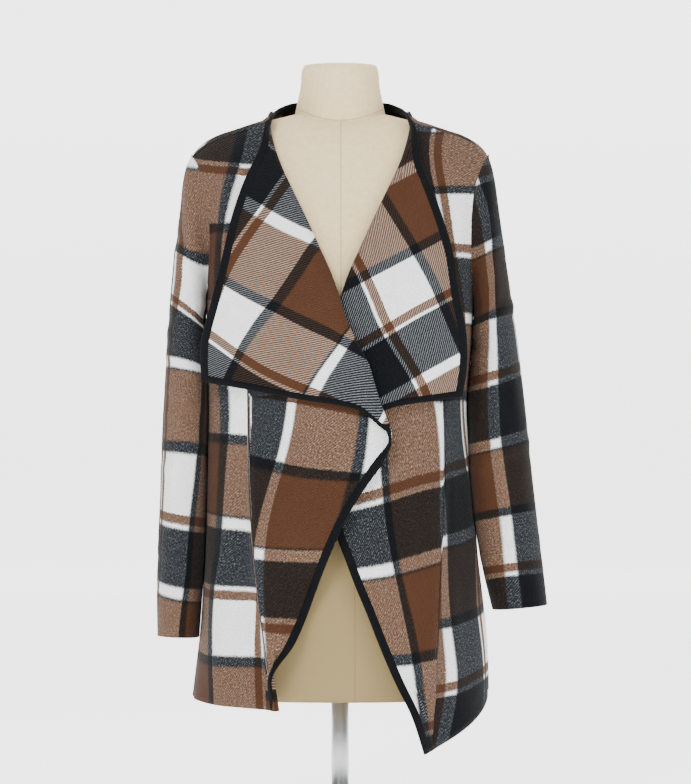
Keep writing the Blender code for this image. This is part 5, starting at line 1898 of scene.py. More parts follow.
@dataclass(frozen=True)
class PlaidTwill:
    """The coat cloth: a twill of dyed yarns, brushed on its right side.

    ridge is the distance from one twill line to the next in millimetres, drawn coarser than the
    real cloth's so that it shows. crisp is how clearly the lines part the two yarns' colours and
    mottle how much the nap mixes them. Borders are soft over twice border, and hairs carry them
    up to half of fuzz either way, both in millimetres. nap is how far its flecks go up and down
    in lightness, and shade darkens where white crosses another yarn.
    """

    name: str
    ridge: float
    crisp: float
    mottle: float
    border: float
    fuzz: float
    nap: float
    shade: float

    def stripes(self, graph: Graph, place: bpy.types.NodeSocket,
                sett: Sequence[Stripe]) -> bpy.types.Node:
        """Colours of one set of yarns.

        Args:
            graph: The graph to add it to.
            place: Coordinate across the stripes, in metres.
            sett: The stripes of one repeat.

        Returns:
            The colour ramp.
        """
        repeats = graph.add("Math", (place, 1.0 / (REPEAT * MM)), operation="MULTIPLY")
        stops = []
        for number, stripe in enumerate(sett):
            following = sett[number + 1].start if number + 1 < len(sett) else REPEAT
            # A narrow stripe gives at most a third of its width to a border
            soft = min(self.border, (following - stripe.start) / 3)
            stops.append(((stripe.start + soft) / REPEAT, stripe.yarn.value))
            stops.append(((following - soft) / REPEAT, stripe.yarn.value))
        share = graph.add("Math", (repeats,), operation="FRACT")
        return graph.add("ValToRGB", (share,), stops)

    def build(self) -> bpy.types.Material:
        """Make the material from the piece's flat map.

        Returns:
            The material.
        """
        graph = Graph.start(self.name)
        flat = graph.add("UVMap", uv_map="flat")
        parts = graph.add("SeparateXYZ", (flat,)).outputs

        # Hairs carry each yarn's colour a little over its border
        hairs = graph.add("TexNoise", {"Vector": flat, "Scale": HAIR_SCALE, "Detail": 3.0})
        either_way = graph.add("SeparateXYZ", (hairs.outputs["Color"],)).outputs
        moved = []
        for hair, part in zip(either_way[:2], parts[:2]):
            shift = graph.add("Math", (hair, 0.5), operation="SUBTRACT")
            moved.append(graph.add("Math", (shift, self.fuzz * MM, part), operation="MULTIPLY_ADD"))
        warp = self.stripes(graph, moved[0], LENGTHWISE)
        weft = self.stripes(graph, moved[1], CROSSWISE)

        # Twill lines run at 45 degrees to both sets of yarns
        line = graph.add("Math", (parts[0], parts[1]), operation="SUBTRACT")
        wander = graph.add("TexNoise", {"Vector": flat, "Scale": WOBBLE_SCALE})
        wobble = graph.add("Math", (wander, 0.5), operation="SUBTRACT")
        line = graph.add("Math", (wobble, WOBBLE * MM, line), operation="MULTIPLY_ADD")
        turns = 2 * math.pi / (self.ridge * MM * math.sqrt(2))
        phase = graph.add("Math", (line, turns), operation="MULTIPLY")
        wave = graph.add("Math", (phase,), operation="SINE")

        # Yarns blend as dark as their colours multiplied, each raised to its share of the surface
        curls = graph.add("TexNoise", {"Vector": flat, "Scale": CURL_SCALE, "Detail": 4.0})
        curl = graph.add("Math", (curls, 0.5), operation="SUBTRACT")
        share = graph.add("Math", (curl, self.mottle, 0.5), operation="MULTIPLY_ADD")
        share = graph.add("Math", (wave, self.crisp, share), operation="MULTIPLY_ADD")
        share = graph.add("Clamp", (share,))
        rest = graph.add("Math", (1.0, share), operation="SUBTRACT")
        darker = graph.add("Mix", (1.0, warp, weft), data_type="RGBA", blend_type="DARKEN")
        lighter = graph.add("Mix", (1.0, warp, weft), data_type="RGBA", blend_type="LIGHTEN")
        depth = graph.add("Math", (lighter, self.shade / WHITE_SHARE), operation="MULTIPLY")
        warp = graph.add("Gamma", (warp, share))
        weft = graph.add("Gamma", (weft, rest))
        colour = graph.add("Mix", (1.0, warp, weft), data_type="RGBA", blend_type="MULTIPLY")
        colour = graph.add("Mix", (depth, colour, darker), data_type="RGBA")

        # The nap makes light and dark flecks
        fleck = graph.add("TexNoise", {"Vector": flat, "Scale": FLECK_SCALE, "Detail": 4.0})
        cloud = graph.add("TexNoise", {"Vector": flat, "Scale": CLOUD_SCALE, "Detail": 3.0})
        light = graph.add("Math", (fleck, self.nap, 1.0 - self.nap / 2), operation="MULTIPLY_ADD")
        clouds = graph.add("Math", (cloud, CLOUD_DEPTH, 1.0 - CLOUD_DEPTH / 2),
                           operation="MULTIPLY_ADD")
        light = graph.add("Math", (light, clouds), operation="MULTIPLY")
        grey = graph.add("CombineXYZ", (light, light, light))
        colour = graph.add("Mix", (1.0, colour, grey), data_type="RGBA", blend_type="MULTIPLY")
        relief = graph.add("Math", (wave, TWILL_RELIEF, fleck), operation="MULTIPLY_ADD")
        bump = graph.add("Bump", {"Height": relief, "Distance": NAP_HEIGHT * MM, "Strength": 0.7})
        graph.surface({"Base Color": colour, "Normal": bump, "Roughness": 0.95,
                       "Sheen Weight": 0.05, "Sheen Roughness": 0.4, "Specular IOR Level": 0.1})
        return graph.material


@dataclass(frozen=True)
class RibKnit:
    """Fine black rib of the bindings, its ribs across the strip.

    rib is the distance from one rib to the next and relief the height of a fleck, in
    millimetres. rib_height is a rib's height in flecks, and fleck_scale is in cells to a metre.
    """

    name: str = "black rib binding"
    rib: float = 2.0
    relief: float = 0.4
    rib_height: float = 0.5
    fleck_scale: float = 900.0

    def build(self) -> bpy.types.Material:
        """Make the material from the strip's flat map.

        Returns:
            The material.
        """
        graph = Graph.start(self.name)
        flat = graph.add("UVMap", uv_map="flat")
        along = graph.add("SeparateXYZ", (flat,)).outputs[1]
        phase = graph.add("Math", (along, 2 * math.pi / (self.rib * MM)), operation="MULTIPLY")
        wave = graph.add("Math", (phase,), operation="SINE")
        fleck = graph.add("TexNoise", {"Vector": flat, "Scale": self.fleck_scale})
        height = graph.add("Math", (wave, self.rib_height, fleck), operation="MULTIPLY_ADD")
        bump = graph.add("Bump", {"Height": height, "Distance": self.relief * MM, "Strength": 0.7})
        colour = graph.add("ValToRGB", (fleck,), ((0.0, "#050608"), (1.0, "#0B0C0F")))
        graph.surface({"Base Color": colour, "Normal": bump, "Roughness": 0.85,
                       "Sheen Weight": 0.03, "Sheen Roughness": 0.4, "Specular IOR Level": 0.08})
        return graph.material


@dataclass(frozen=True)
class Linen:
    """Stretched beige linen of the form, with its centre seam and the seam round the neck.

    Its threads are drawn coarser than real ones. Places, widths and thread_height are in
    millimetres and slub_scale in cells to a metre. weave and seam_relief are heights beside the
    slubs, and seam_shade is how far a seam takes on its own dark colour.
    """

    name: str = "beige linen"
    thread: float = 1.2
    seam_width: float = 0.7
    seam_x: float = 1.2
    seam_drift: float = 17.5
    drift_from_z: float = 700.0
    drift_height: float = 380.0
    neck_z: float = 888.0
    neck_rise: float = 20.0
    neck_half: float = 60.0
    # Heights over which painted shade darkens and yellows the linen towards its foot
    painted_shade_from_z: float = 720.0
    painted_shade_full_below_z: float = 420.0
    slub_scale: float = 160.0
    thread_height: float = 0.3
    weave: float = 0.3
    seam_relief: float = 2.5
    seam_shade: float = 0.45

    def line(self, graph: Graph, distance: bpy.types.Node) -> bpy.types.Node:
        """Draw a soft line, a bell of the distance from it.

        Args:
            graph: The graph to add it to.
            distance: Distance from the line in metres.

        Returns:
            Its strength, 1 on the line.
        """
        near = graph.add("Math", (distance, self.seam_width * MM), operation="DIVIDE")
        square = graph.add("Math", (near, near), operation="MULTIPLY")
        power = graph.add("Math", (square, -1.0), operation="MULTIPLY")
        return graph.add("Math", (power,), operation="EXPONENT")

    def build(self) -> bpy.types.Material:
        """Make the material from object coordinates.

        Returns:
            The material.
        """
        graph = Graph.start(self.name)
        place = graph.add("TexCoord").outputs["Object"]
        x, y, z = graph.add("SeparateXYZ", (place,)).outputs
        turn = 2 * math.pi / (self.thread * MM)
        across = graph.add("Math", (x, turn), operation="MULTIPLY")
        across = graph.add("Math", (across,), operation="SINE")
        along = graph.add("Math", (z, turn), operation="MULTIPLY")
        along = graph.add("Math", (along,), operation="SINE")
        slub = graph.add("TexNoise", {"Vector": place, "Scale": self.slub_scale, "Detail": 3.0})

        # The centre seam drifts sideways below the bust, and ends at the seam round the neck
        low_z = self.drift_from_z - self.drift_height
        drift = graph.add("MapRange", {
            "Value": z, "From Min": self.drift_from_z * MM, "From Max": low_z * MM,
            "To Min": self.seam_x * MM, "To Max": (self.seam_x + self.seam_drift) * MM,
        }, interpolation_type="SMOOTHSTEP")
        centre = self.line(graph, graph.add("Math", (x, drift), operation="SUBTRACT"))
        share = graph.add("Math", (x, self.neck_half * MM), operation="DIVIDE")
        curve = graph.add("Math", (share, share), operation="MULTIPLY")
        curve = graph.add("Math", (curve, self.neck_rise * MM), operation="MULTIPLY")
        below = graph.add("Math", (z, self.neck_z * MM), operation="SUBTRACT")
        below = graph.add("Math", (below, curve), operation="SUBTRACT")
        under_neck = graph.add("Math", (below, 0.0), operation="LESS_THAN")
        centre = graph.add("Math", (centre, under_neck), operation="MULTIPLY")
        seam = graph.add("Math", (centre, self.line(graph, below)), operation="MAXIMUM")
        in_front = graph.add("Math", (y, 0.0), operation="LESS_THAN")
        seam = graph.add("Math", (seam, in_front), operation="MULTIPLY")

        # Painted shade: towards its foot the linen is drawn darker and yellower, for the shade
        # under the hanging cloth
        low = graph.add("MapRange", {
            "Value": z, "From Min": self.painted_shade_from_z * MM, "From Max": self.painted_shade_full_below_z * MM,
            "To Min": 0.0, "To Max": 1.0,
        }, interpolation_type="SMOOTHSTEP")
        pale = graph.add("ValToRGB", (slub,), ((0.0, "#C6B084"), (1.0, "#DFCAA0")))
        linen = graph.add("Mix", (low, pale, srgb("#82714D")), data_type="RGBA")
        depth = graph.add("Math", (seam, self.seam_shade), operation="MULTIPLY")
        shaded = graph.add("Mix", (depth, linen, srgb("#5F5440")), data_type="RGBA")
        woven = graph.add("Math", (across, along), operation="MULTIPLY")
        height = graph.add("Math", (woven, self.weave, slub), operation="MULTIPLY_ADD")
        relief = graph.add("Math", (seam, -self.seam_relief, height), operation="MULTIPLY_ADD")
        bump = graph.add("Bump", {"Height": relief, "Distance": self.thread_height * MM,
                                  "Strength": 0.5})
        graph.surface({"Base Color": shaded, "Normal": bump, "Roughness": 0.9,
                       "Sheen Weight": 0.05, "Specular IOR Level": 0.25})
        return graph.material


@dataclass(frozen=True)
class BrushedSteel:
    """Brushed steel of the post, its lines round it: cells to a metre along each axis."""

    name: str = "brushed steel"
    lines: tuple[float, float, float] = (20.0, 20.0, 1800.0)
    least_roughness: float = 0.25
    roughness_range: float = 0.2

    def build(self) -> bpy.types.Material:
        """Make the material from object coordinates, drawn out sideways.

        Returns:
            The material.
        """
        graph = Graph.start(self.name)
        place = graph.add("TexCoord").outputs["Object"]
        drawn = graph.add("Mapping", {"Vector": place, "Scale": self.lines})
        lines = graph.add("TexNoise", {"Vector": drawn, "Scale": 1.0})
        rough = graph.add("Math", (lines, self.roughness_range, self.least_roughness),
                          operation="MULTIPLY_ADD")
        graph.surface({"Metallic": 1.0, "Base Color": srgb("#B9BABC"), "Roughness": rough})
        return graph.material


@dataclass(frozen=True)
class Lacquer:
    """Satin black lacquer of the base, with a faint orange peel.

    peel_scale is in cells to a metre, and peel_height in millimetres.
    """

    name: str = "black lacquer"
    peel_scale: float = 240.0
    peel_height: float = 0.1

    def build(self) -> bpy.types.Material:
        """Make the material from object coordinates.

        Returns:
            The material.
        """
        graph = Graph.start(self.name)
        place = graph.add("TexCoord").outputs["Object"]
        peel = graph.add("TexNoise", {"Vector": place, "Scale": self.peel_scale})
        bump = graph.add("Bump", {"Height": peel, "Distance": self.peel_height * MM,
                                  "Strength": 0.4})
        graph.surface({"Base Color": srgb("#1B1B1C"), "Normal": bump, "Roughness": 0.35,
                       "Coat Weight": 0.3, "Coat Roughness": 0.15})
        return graph.material


@dataclass(frozen=True)
class StudioPaper:
    """White paper of the floor and the backdrop, which glows so that it comes out pale."""

    name: str = "studio paper"
    glow: float = 2.2

    def build(self) -> bpy.types.Material:
        """Make the plain material.

        Returns:
            The material.
        """
        graph = Graph.start(self.name)
        graph.surface({"Roughness": 0.95, "Specular IOR Level": 0.1,
                       "Base Color": srgb("#FAFAFA"), "Emission Color": srgb("#FFFFFF"),
                       "Emission Strength": self.glow})
        return graph.material


@dataclass
class Finishes:
    """Every finish, made once."""

    face: bpy.types.Material
    wrong: bpy.types.Material
    knit: bpy.types.Material
    linen: bpy.types.Material
    steel: bpy.types.Material
    lacquer: bpy.types.Material
    paper: bpy.types.Material

    @classmethod
    def make(cls) -> "Finishes":
        """Make all the materials.

        Returns:
            The finishes.
        """
        return cls(
            face=PlaidTwill("brushed plaid twill", ridge=2.6, crisp=0.1, mottle=1.5, border=1.6,
                            fuzz=6.0, nap=0.6, shade=0.62).build(),
            wrong=PlaidTwill("plaid twill wrong side", ridge=3.0, crisp=0.33, mottle=0.35,
                             border=0.6, fuzz=2.0, nap=0.3, shade=0.5).build(),
            knit=RibKnit().build(),
            linen=Linen().build(),
            steel=BrushedSteel().build(),
            lacquer=Lacquer().build(),
            paper=StudioPaper().build(),
        )


def creases(press: Press, *rows: tuple[float, ...]) -> tuple[Crease, ...]:
    """Creases of one kind from their from, to, depth and width numbers."""
    return tuple(Crease(*row, press) for row in rows)


# Slopes of a map whose plaid isn't stretched or turned
UNSTRETCHED = ((1.0, 0.0), (0.0, 1.0))

RIGHT_SIDE_PLAID = PlaidMap(table(Anchor,
    (228, 174.2, 81, 0), (218.9, 221.5, 81, 67), (236.4, 175.9, 67, 0), (224.6, 219.4, 67, 67),
    (249.4, 132, 67, -62), (211, 160.5, 101, -16), (214, 235.2, 85, 81), (211, 297.3, 87, 165),
    (211, 310, 87, 181), (211, 361.5, 88, 251), (211, 378, 88, 267), (224.8, 404.2, 81, 297),
    (232.8, 404.2, 67, 297), (211.5, 432, 91, 334), (240.6, 432.8, 52, 334),
    (211.5, 443.5, 91, 348), (220, 477, 81, 389), (228.5, 477, 67, 389), (240.6, 517, 42, 432),
    (211, 512.8, 90, 432), (240.6, 529, 41, 448), (206.7, 525.5, 93, 448),
    (216.4, 549.7, 81, 474), (224.8, 549.7, 67, 474), (211, 586, 84, 518), (240, 586, 30, 518),
    (211, 599.4, 80, 534), (240, 599.4, 26, 534), (207.9, 622.4, 81, 562),
    (215.6, 622.4, 67, 562), (254.4, 622.4, 0, 562), (215, 654, 69, 601), (215, 666, 69, 615),
    (211.5, 683, 81, 636), (215.6, 683, 67, 636), (252.7, 683, 0, 636), (262, 622, -9, 562),
    (263, 683, -9, 636),
))
RIGHT_CENTRE_PLAID = PlaidMap(table(Anchor,
    (363, 470.9, 67, 67), (353.3, 469.7, 81, 67), (286.7, 461.2, 167, 67),
    (274.5, 456.4, 181, 67), (278.9, 477, 167, 81), (267.8, 474, 181, 81), (347.3, 480.6, 81, 81),
    (336.4, 523, 81, 136), (323.9, 546, 91, 165), (265.3, 544.8, 167, 165),
    (263.6, 558.2, 167, 181), (321.7, 558.5, 93, 181), (263.6, 612.7, 167, 251),
    (264.8, 618.8, 167, 255), (265.3, 632.1, 167, 267), (297.1, 617.7, 126, 251),
    (292.7, 632.2, 131, 267), (268.1, 670, 165, 315), (285, 670, 144, 315), (368, 424, 67, 8),
    (359, 424, 81, 8), (295, 424, 167, 24), (281, 424, 181, 26), (253, 424, 251, 30),
    (300, 403, 160, 1), (254, 451.5, 240, 67), (254, 462, 238, 81),
))
RIGHT_LAPEL_PLAID = PlaidMap(table(Anchor,
    (264, 225, 165, 0), (306, 246, 165, 67), (273, 300, 81, 67), (230, 279, 81, 0),
    (225, 286, 67, 0), (262, 309, 67, 67), (239, 346, 0, 67), (213, 330, 0, 0),
    (270.5, 214.2, 181, 0), (310.5, 236.3, 181, 67), (264.2, 204.7, 181, -16),
    (285.2, 306.8, 81, 81), (344, 334, 81, 165), (335.7, 345.7, 67, 169), (347.3, 352, 67, 181),
    (312.6, 385.7, 0, 169), (321, 388.8, 0, 181), (243, 355, 0, 81), (306.3, 388.8, -2, 165),
    (372, 392, 34, 240), (384, 412, 28, 247),
), reach=60.0)
LEFT_CENTRE_PLAID = PlaidMap(table(Anchor,
    (376, 408, 70, -201), (400, 405, 108, -201), (430, 402, 158, -201), (380.6, 502.7, 67, -290),
    (394.8, 566.4, 67, -361), (409, 639.6, 67, -440), (413.7, 664, 67, -467),
    (391.7, 502.7, 81, -290), (403, 575.8, 81, -371), (411.3, 616, 81, -415),
    (420.7, 653.7, 81, -459), (424.3, 700, 81, -512), (433.7, 410.7, 165, -208),
    (438.4, 450.8, 167, -246), (440.8, 483.8, 167, -283), (439.6, 535.7, 165, -340),
    (370, 494.4, 48, -267), (370, 506.2, 48, -283), (370, 565.2, 33, -353),
    (370, 575.9, 33, -365), (393.6, 486.2, 86, -267), (439.6, 469.7, 167, -267),
    (393.6, 498, 85, -283), (400.7, 561.7, 78, -353), (439.6, 547.5, 165, -353),
    (403, 573, 80, -367), (438.4, 560.3, 163, -367), (408.9, 651.4, 68, -453),
    (433.7, 641.9, 108, -453), (411.3, 663.2, 66, -467), (391.2, 649, 42, -453),
    (393.6, 662, 42, -467), (448.9, 194.2, 267, 67), (452.8, 242.8, 267, 2),
    (436.3, 140, 267, 159), (444, 184, 267, 81),
))
LEFT_SIDE_PLAID = PlaidMap(table(Anchor,
    (436.3, 140, 267, 159), (444, 184, 267, 81), (448.9, 194.2, 267, 67), (452.8, 242.8, 267, 2),
    (458, 254, 275, -14), (459.7, 406, 254, -206), (441, 406, 186, -206),
    (464.4, 450.8, 256, -254), (441, 430, 181, -228), (440.8, 465, 178, -267),
    (466.7, 455.5, 260, -267), (440.8, 476.7, 178, -281), (467.9, 467.3, 260, -281),
    (442, 537, 178, -353), (473.8, 527.5, 258, -353), (445.5, 546.4, 178, -365),
    (475, 533.4, 262, -365), (447.9, 554.6, 181, -377), (440.8, 549.9, 169, -372),
    (451.4, 625.4, 181, -464), (444.3, 627.8, 169, -467), (478.5, 606.5, 262, -453),
    (480.9, 617, 267, -467), (454.9, 679.7, 181, -534), (449, 682, 169, -534),
    (485.6, 665.5, 262, -534), (458.5, 691.5, 184, -550), (486.8, 677.3, 262, -550),
), slopes=UNSTRETCHED)
LEFT_LAPEL_PLAID = PlaidMap(table(Anchor,
    (413.5, 256.1, 67, 67), (433.3, 296.6, 0, 67), (389.8, 322.3, 0, 0), (372, 279, 67, 0),
    (386.8, 190.8, 165, 81), (415.5, 246.2, 81, 81), (383.8, 339.1, -16, -16),
    (409.5, 382.6, -86, -16), (423.4, 370.7, -86, 0), (457, 355, -86, 67),
), reach=60.0)

RIGHT_FRONT = Front(
    name="front_right",
    side=-1,
    turn_z=499.0,
    side_hem=161.0,
    lift=LAYER_LIFT,
    edge=table(Edge,
        (152, 76), (176, 78), (203, 70), (239, 55), (283, 36), (336, 17), (378, -1), (423, -26),
        (459, -52), (481, -61), (499, -62), (520, -54), (542, -46), (578, -36), (625, -12),
        (670, 3), (761, 42), (849, 81), (888, 90),
    ),
    lapel=table(Edge,
        (560, 172), (608, 172), (651, 161), (710, 146), (769, 132), (809, 118), (839, 106),
        (864, 93), (880, 91),
    ),
    lower=table(LowerEdge, (0, 0), (0.06, 12), (0.2, 16), (0.5, 10), (0.78, 5), (1, 0)),
    folds=table(Fold,
        (545, 112, 150, 76, 24, 9, 5), (420, 46, 150, 62, -7, 14, 0),
        (470, 150, 150, 150, 7, 16, 0),
    ),
    tuck=16.0,
    tuck_low_share=0.35,
    side_plaid=RIGHT_SIDE_PLAID,
    centre_plaid=RIGHT_CENTRE_PLAID,
    lapel_plaid=RIGHT_LAPEL_PLAID,
    body_creases=creases(Press.TROUGH,
        (232, 400, 228, 560, 1.8, 11), (346, 415, 318, 530, 1.9, 12), (215, 560, 212, 690, 2, 12),
        (232, 150, 222, 260, 1.4, 10), (275, 560, 282, 680, 1.5, 9),
    ) + creases(Press.RIDGE,
        (300, 405, 291, 530, 1.6, 14), (240, 560, 238, 690, 1.7, 12),
        (214, 175, 217, 240, 1.1, 8), (222, 470, 214, 560, 1.2, 10),
    ),
    lapel_creases=creases(Press.TROUGH,
        (285, 190, 330, 300, 1.6, 16), (226, 330, 292, 384, 1.4, 12),
        (340, 345, 374, 392, 1.2, 9),
    ) + creases(Press.RIDGE, (252, 240, 300, 372, 1.6, 17), (310, 315, 362, 385, 1.2, 12)),
)

LEFT_FRONT = Front(
    name="front_left",
    side=1,
    turn_z=486.0,
    side_hem=171.0,
    lift=0.0,
    edge=table(Edge,
        (99, 101), (132, 91), (176, 74), (220, 55), (268, 36), (319, 15), (349, 4), (395, -13),
        (440, -23), (486, -27), (540, -23), (600, -14), (670, 3), (761, 42), (849, 81), (888, 90),
    ),
    lapel=table(Edge,
        (541, 151), (580, 157), (626, 155), (665, 147), (720, 139), (772, 123), (819, 106),
        (850, 95), (880, 91),
    ),
    lower=table(LowerEdge, (0, 0), (0.25, 10), (0.5, 14), (0.8, 6), (1, 0)),
    folds=table(Fold,
        (545, 128, 150, 112, 18, 9, 4), (250, 116, 99, 106, -9, 9, 0),
        (400, 80, 150, 100, 6, 14, 0),
    ),
    tuck=8.0,
    tuck_low_share=0.4,
    side_plaid=LEFT_SIDE_PLAID,
    centre_plaid=LEFT_CENTRE_PLAID,
    lapel_plaid=LEFT_LAPEL_PLAID,
    body_creases=creases(Press.TROUGH,
        (400, 480, 415, 640, 1.8, 12), (468, 420, 478, 560, 1.8, 8), (430, 610, 434, 720, 1.9, 8),
        (456, 150, 462, 240, 1.4, 10), (372, 530, 398, 620, 1.3, 9),
    ) + creases(Press.RIDGE,
        (415, 412, 425, 560, 1.6, 13), (463, 570, 470, 690, 1.5, 10),
        (428, 150, 440, 230, 1.1, 9), (402, 640, 424, 720, 1.2, 9),
    ),
    lapel_creases=creases(Press.TROUGH,
        (420, 195, 450, 330, 1.5, 13), (356, 330, 420, 388, 1.3, 12),
    ) + creases(Press.RIDGE, (382, 225, 426, 370, 1.6, 15), (440, 300, 452, 388, 1.1, 9)),
)

RIGHT_SLEEVE = Sleeve(
    name="sleeve_right_cloth",
    side=-1,
    rings=RIGHT_RINGS,
    creases=creases(Press.TROUGH,
        (187, 190, 196, 262, 1.5, 7), (166, 335, 204, 300, 1.8, 7), (165, 352, 197, 374, 1.4, 6),
        (163, 474, 199, 440, 1.6, 8), (158, 548, 188, 572, 1.3, 7),
    ) + creases(Press.RIDGE,
        (192, 385, 184, 500, 1.4, 8), (172, 230, 200, 270, 1.2, 8), (168, 400, 198, 425, 1.1, 8),
    ),
    plaid=PlaidMap(table(Anchor,
        (184.3, 166, 8, 165), (181.9, 247.3, 0, 81), (202.6, 253.7, 30, 81), (183, 176, 0, 156),
        (195, 180, 32, 156), (190, 166, 12, 166), (183, 212, 0, 122), (200, 212, 42, 122),
        (203, 246, 46, 81), (181.9, 246, 0, 81), (181.9, 260, 0, 67), (204.2, 268, 34, 67),
        (174, 288, -8, 0), (198, 318, 40, 0), (172, 304, -8, -14), (171, 357.1, 0, -86),
        (194.9, 361.4, 55, -86), (171, 366.9, 0, -98), (195.9, 370.6, 57, -98),
        (165.6, 438.4, 0, -186), (180.8, 441.7, 34, -186), (195.9, 440.6, 67, -186),
        (165.6, 450.3, 0, -200), (173.2, 456.8, 18, -200), (193.2, 456.8, 67, -200),
        (162.9, 510.4, 0, -267), (174.3, 516.9, 33, -267), (186.5, 514.7, 67, -267),
        (161.3, 524, 0, -283), (174.8, 531, 38, -283), (184.6, 530, 67, -283),
        (191.6, 532, 81, -283), (159.1, 583.5, 0, -353), (179.7, 592.2, 67, -353),
        (188.4, 590, 81, -353), (159.1, 592.7, 0, -365), (179.7, 602.5, 67, -365),
        (185.1, 606.8, 81, -372), (175.9, 639.4, 67, -410), (181.9, 639.4, 81, -410),
    ), slopes=UNSTRETCHED),
)
LEFT_SLEEVE = Sleeve(
    name="sleeve_left_cloth",
    side=1,
    rings=LEFT_RINGS,
    creases=creases(Press.TROUGH,
        (495, 250, 497, 439, 1.3, 6), (498, 445, 516, 590, 1.4, 6), (468, 335, 520, 300, 1.7, 7),
        (470, 352, 516, 366, 1.3, 6), (474, 470, 532, 440, 1.5, 8), (486, 560, 540, 540, 1.2, 7),
    ) + creases(Press.RIDGE,
        (466, 235, 502, 262, 1.2, 8), (506, 380, 520, 470, 1.2, 7), (480, 500, 530, 515, 1.1, 8),
    ),
    plaid=PlaidMap(table(Anchor,
        (478.5, 184.7, 175, -16), (492, 178, 208, -16), (488, 161, 208, 0), (471, 200, 158, -32),
        (481.5, 200, 181, -34), (464, 251.9, 134, -86), (485.6, 242.8, 166, -86),
        (493, 236.1, 181, -86), (503.8, 232.8, 222, -86), (464.9, 259.4, 134, -98),
        (484.8, 251.9, 165, -98), (494.7, 249.4, 181, -98), (505.5, 241, 225, -98),
        (505.5, 258, 252, -118), (510.5, 296, 252, -170), (466.5, 314.9, 128, -186),
        (494.7, 314, 172, -186), (497.2, 304.1, 184, -186), (513, 302.5, 250, -186),
        (478, 324.9, 140, -200), (494.7, 323.2, 172, -200), (497.2, 313.3, 184, -200),
        (471.5, 378.8, 132, -267), (493.9, 377.1, 166, -267), (497.2, 362.2, 184, -267),
        (519.6, 361.3, 248, -267), (471, 391, 132, -283), (494, 390.3, 166, -283),
        (494.7, 379.8, 181, -283), (520.7, 374.9, 246, -283), (472.8, 444.8, 134, -353),
        (493.9, 444, 166, -353), (498.8, 435, 181, -353), (528.1, 429.4, 250, -353),
        (494.7, 456.2, 169, -369), (500.4, 444.8, 181, -369), (529.7, 440.7, 250, -369),
        (500.4, 492, 169, -424), (507.7, 500.1, 181, -446), (477.6, 514.7, 132, -453),
        (537, 503.4, 246, -453), (479.3, 523.7, 132, -467), (505.3, 518, 169, -467),
        (511, 513, 181, -467), (537.8, 511.5, 246, -467), (485, 571.7, 134, -534),
        (509.4, 566, 169, -534), (517.5, 564.3, 181, -534), (543.5, 561.9, 244, -534),
        (487.4, 580.6, 134, -550), (512.6, 576.5, 169, -550), (519.1, 575.7, 181, -550),
        (544.3, 572.5, 242, -550), (515, 610.7, 169, -592), (521.6, 607.4, 181, -592),
    ), slopes=UNSTRETCHED),
)
BACK = Back(
    name="back_panel_cloth",
    side_hems=(161.0, 171.0),
    creases=creases(Press.TROUGH,
        (260, 200, 255, 420, 1.9, 14), (230, 450, 226, 680, 2.2, 14),
        (300, 480, 292, 690, 1.9, 14), (385, 470, 392, 690, 2.1, 14),
        (452, 440, 458, 690, 1.9, 13), (205, 190, 228, 250, 1.5, 8), (478, 190, 455, 250, 1.5, 8),
    ) + creases(Press.RIDGE,
        (420, 200, 428, 430, 1.7, 14), (340, 260, 338, 560, 1.8, 18),
        (262, 480, 260, 690, 1.7, 13), (290, 330, 390, 345, 1.1, 10),
        (425, 480, 428, 690, 1.6, 13),
    ),
    plaid=PlaidMap(table(Anchor,
        (340, 125, 151, 40), (440, 125, 276, 40), (340, 525, 151, -460), (440, 525, 276, -460),
    )),
)


class Light(NamedTuple):
    """A large round lamp: its name, its place and size in metres, and its power in watts."""

    name: str
    place: tuple[float, float, float]
    size: float
    power: float


LIGHTS = table(Light,
    ("key_light", (-1.1, -3.0, 2.3), 1.4, 125.0), ("fill_light", (2.3, -2.6, 1.9), 2.0, 62.0),
    ("top_light", (0.0, 0.2, 3.0), 2.0, 60.0),
)


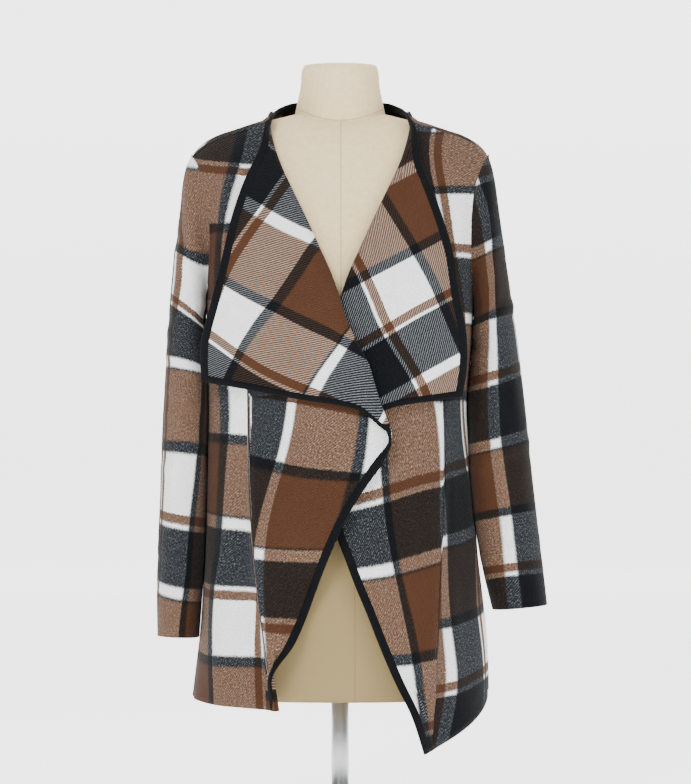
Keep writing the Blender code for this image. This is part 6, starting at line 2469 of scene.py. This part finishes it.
@dataclass
class Studio:
    """Floor, backdrop, soft lights, and the camera that looks as the photograph does.

    Lengths are in metres. The floor is flat as far back as flat_end, and rises from there in a
    round cove to the backdrop.
    """

    camera_distance: float = 4.5
    camera_x: float = 0.006875
    camera_z: float = 0.54625
    target_y: float = -0.07
    sensor: float = 36.0
    floor_half: float = 16.0
    floor_columns: int = 9
    flat_end: float = 6.0
    cove: float = 1.5
    cove_rows: int = 25
    backdrop_top: float = 6.0
    daylight: float = 0.35
    lit_z: float = 0.55

    def build(self, finishes: "Finishes") -> None:
        """Make all of it.

        Args:
            finishes: The finishes.
        """
        turn = np.linspace(0, math.pi / 2, self.cove_rows)
        cove = self.cove * np.stack([np.sin(turn), 1 - np.cos(turn)], axis=1)
        pairs = np.concatenate([[(-self.floor_half, 0.0)], cove + (self.flat_end, 0.0),
                                [(self.flat_end + self.cove, self.backdrop_top)]])
        width = np.linspace(-self.floor_half, self.floor_half, self.floor_columns)
        x, y = np.meshgrid(width, pairs[:, 0])
        z = np.repeat(pairs[:, 1:], len(width), axis=1)
        points = np.stack([x, y, z], axis=-1) / MM
        faces = grid_faces(np.ones((len(pairs) - 1, len(width) - 1), dtype=bool))
        corner_uv = np.zeros((faces.size, 2))
        add_mesh("studio_floor", points, faces.tolist(), corner_uv, finishes.paper)
        for light in LIGHTS:
            self.add_light(light)
        world = bpy.data.worlds.new("soft daylight")
        world.use_nodes = True
        background = world.node_tree.nodes["Background"]
        background.inputs["Color"].default_value = (1.0, 1.0, 1.0, 1.0)
        background.inputs["Strength"].default_value = self.daylight
        bpy.context.scene.world = world
        data = bpy.data.cameras.new("camera")
        camera = bpy.data.objects.new("camera", data)
        bpy.context.scene.collection.objects.link(camera)
        camera.location = (self.camera_x, self.target_y - self.camera_distance, self.camera_z)
        camera.rotation_euler = (math.pi / 2, 0.0, 0.0)
        data.sensor_fit = "AUTO"
        data.sensor_width = self.sensor
        view_height = PICTURE_HEIGHT * PIXEL * MM
        data.lens = self.sensor * self.camera_distance / view_height
        bpy.context.scene.camera = camera

    def add_light(self, light: Light) -> None:
        """Add a lamp that faces the middle of the garment.

        Args:
            light: Its row of the table.
        """
        data = bpy.data.lights.new(light.name, "AREA")
        data.shape = "DISK"
        data.size = light.size
        data.energy = light.power
        lamp = bpy.data.objects.new(light.name, data)
        bpy.context.scene.collection.objects.link(lamp)
        away = np.array(light.place) - (0.0, 0.0, self.lit_z)
        turn = math.atan2(away[0], -away[1])
        lamp.location = light.place
        lamp.rotation_euler = (math.acos(away[2] / np.linalg.norm(away)), 0.0, turn)


def stand_in(pieces: Sequence[bpy.types.Object], nodes: Sequence[str],
             slots: Sequence[str]) -> None:
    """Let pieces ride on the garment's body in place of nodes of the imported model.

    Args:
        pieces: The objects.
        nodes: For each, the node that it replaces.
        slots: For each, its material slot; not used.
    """
    for piece, node, slot in zip(pieces, nodes, slots):
        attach(piece, ROOT)
        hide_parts(node)
        LOG.info("%s: %d points, %d faces, for %s", piece.name, len(piece.data.vertices),
                 len(piece.data.polygons), node)


def main() -> None:
    """Build the whole scene."""
    logging.basicConfig(level=logging.INFO, format="%(message)s")
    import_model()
    finishes = Finishes.make()
    cloth, knit = "plaid_twill", "black_binding"
    form = DressForm().build(finishes)
    stand_in(form, ("form_torso", "form_torso"), ("beige_linen", "beige_linen"))
    stand_in(Stand().build(finishes), ("stand_post", "stand_base"), ("steel_post", "black_lacquer"))
    ends = []
    for front, node in ((RIGHT_FRONT, "front_right"), (LEFT_FRONT, "front_left")):
        panel, binding = front.build(finishes)
        stand_in((panel, binding), (node, f"binding_{node}"), (cloth, knit))
        inner = front.points[-1, front.lapel_strip]
        outer = front.points[-1, -1]
        ends.append((inner, outer - inner))
        LOG.info("%s area %.3f", panel.name, front.area)
    panel, binding = BACK.build(ends, finishes)
    stand_in((panel, binding), ("back_panel", "binding_neck"), (cloth, knit))
    LOG.info("%s area %.3f", panel.name, BACK.area)
    for sleeve, node in ((RIGHT_SLEEVE, "sleeve_right"), (LEFT_SLEEVE, "sleeve_left")):
        tube = sleeve.build(finishes)
        stand_in(tube, (node,), (cloth,))
        LOG.info("%s area %.3f", tube[0].name, sleeve.area)
    Studio().build(finishes)


if __name__ == "__main__":
    main()
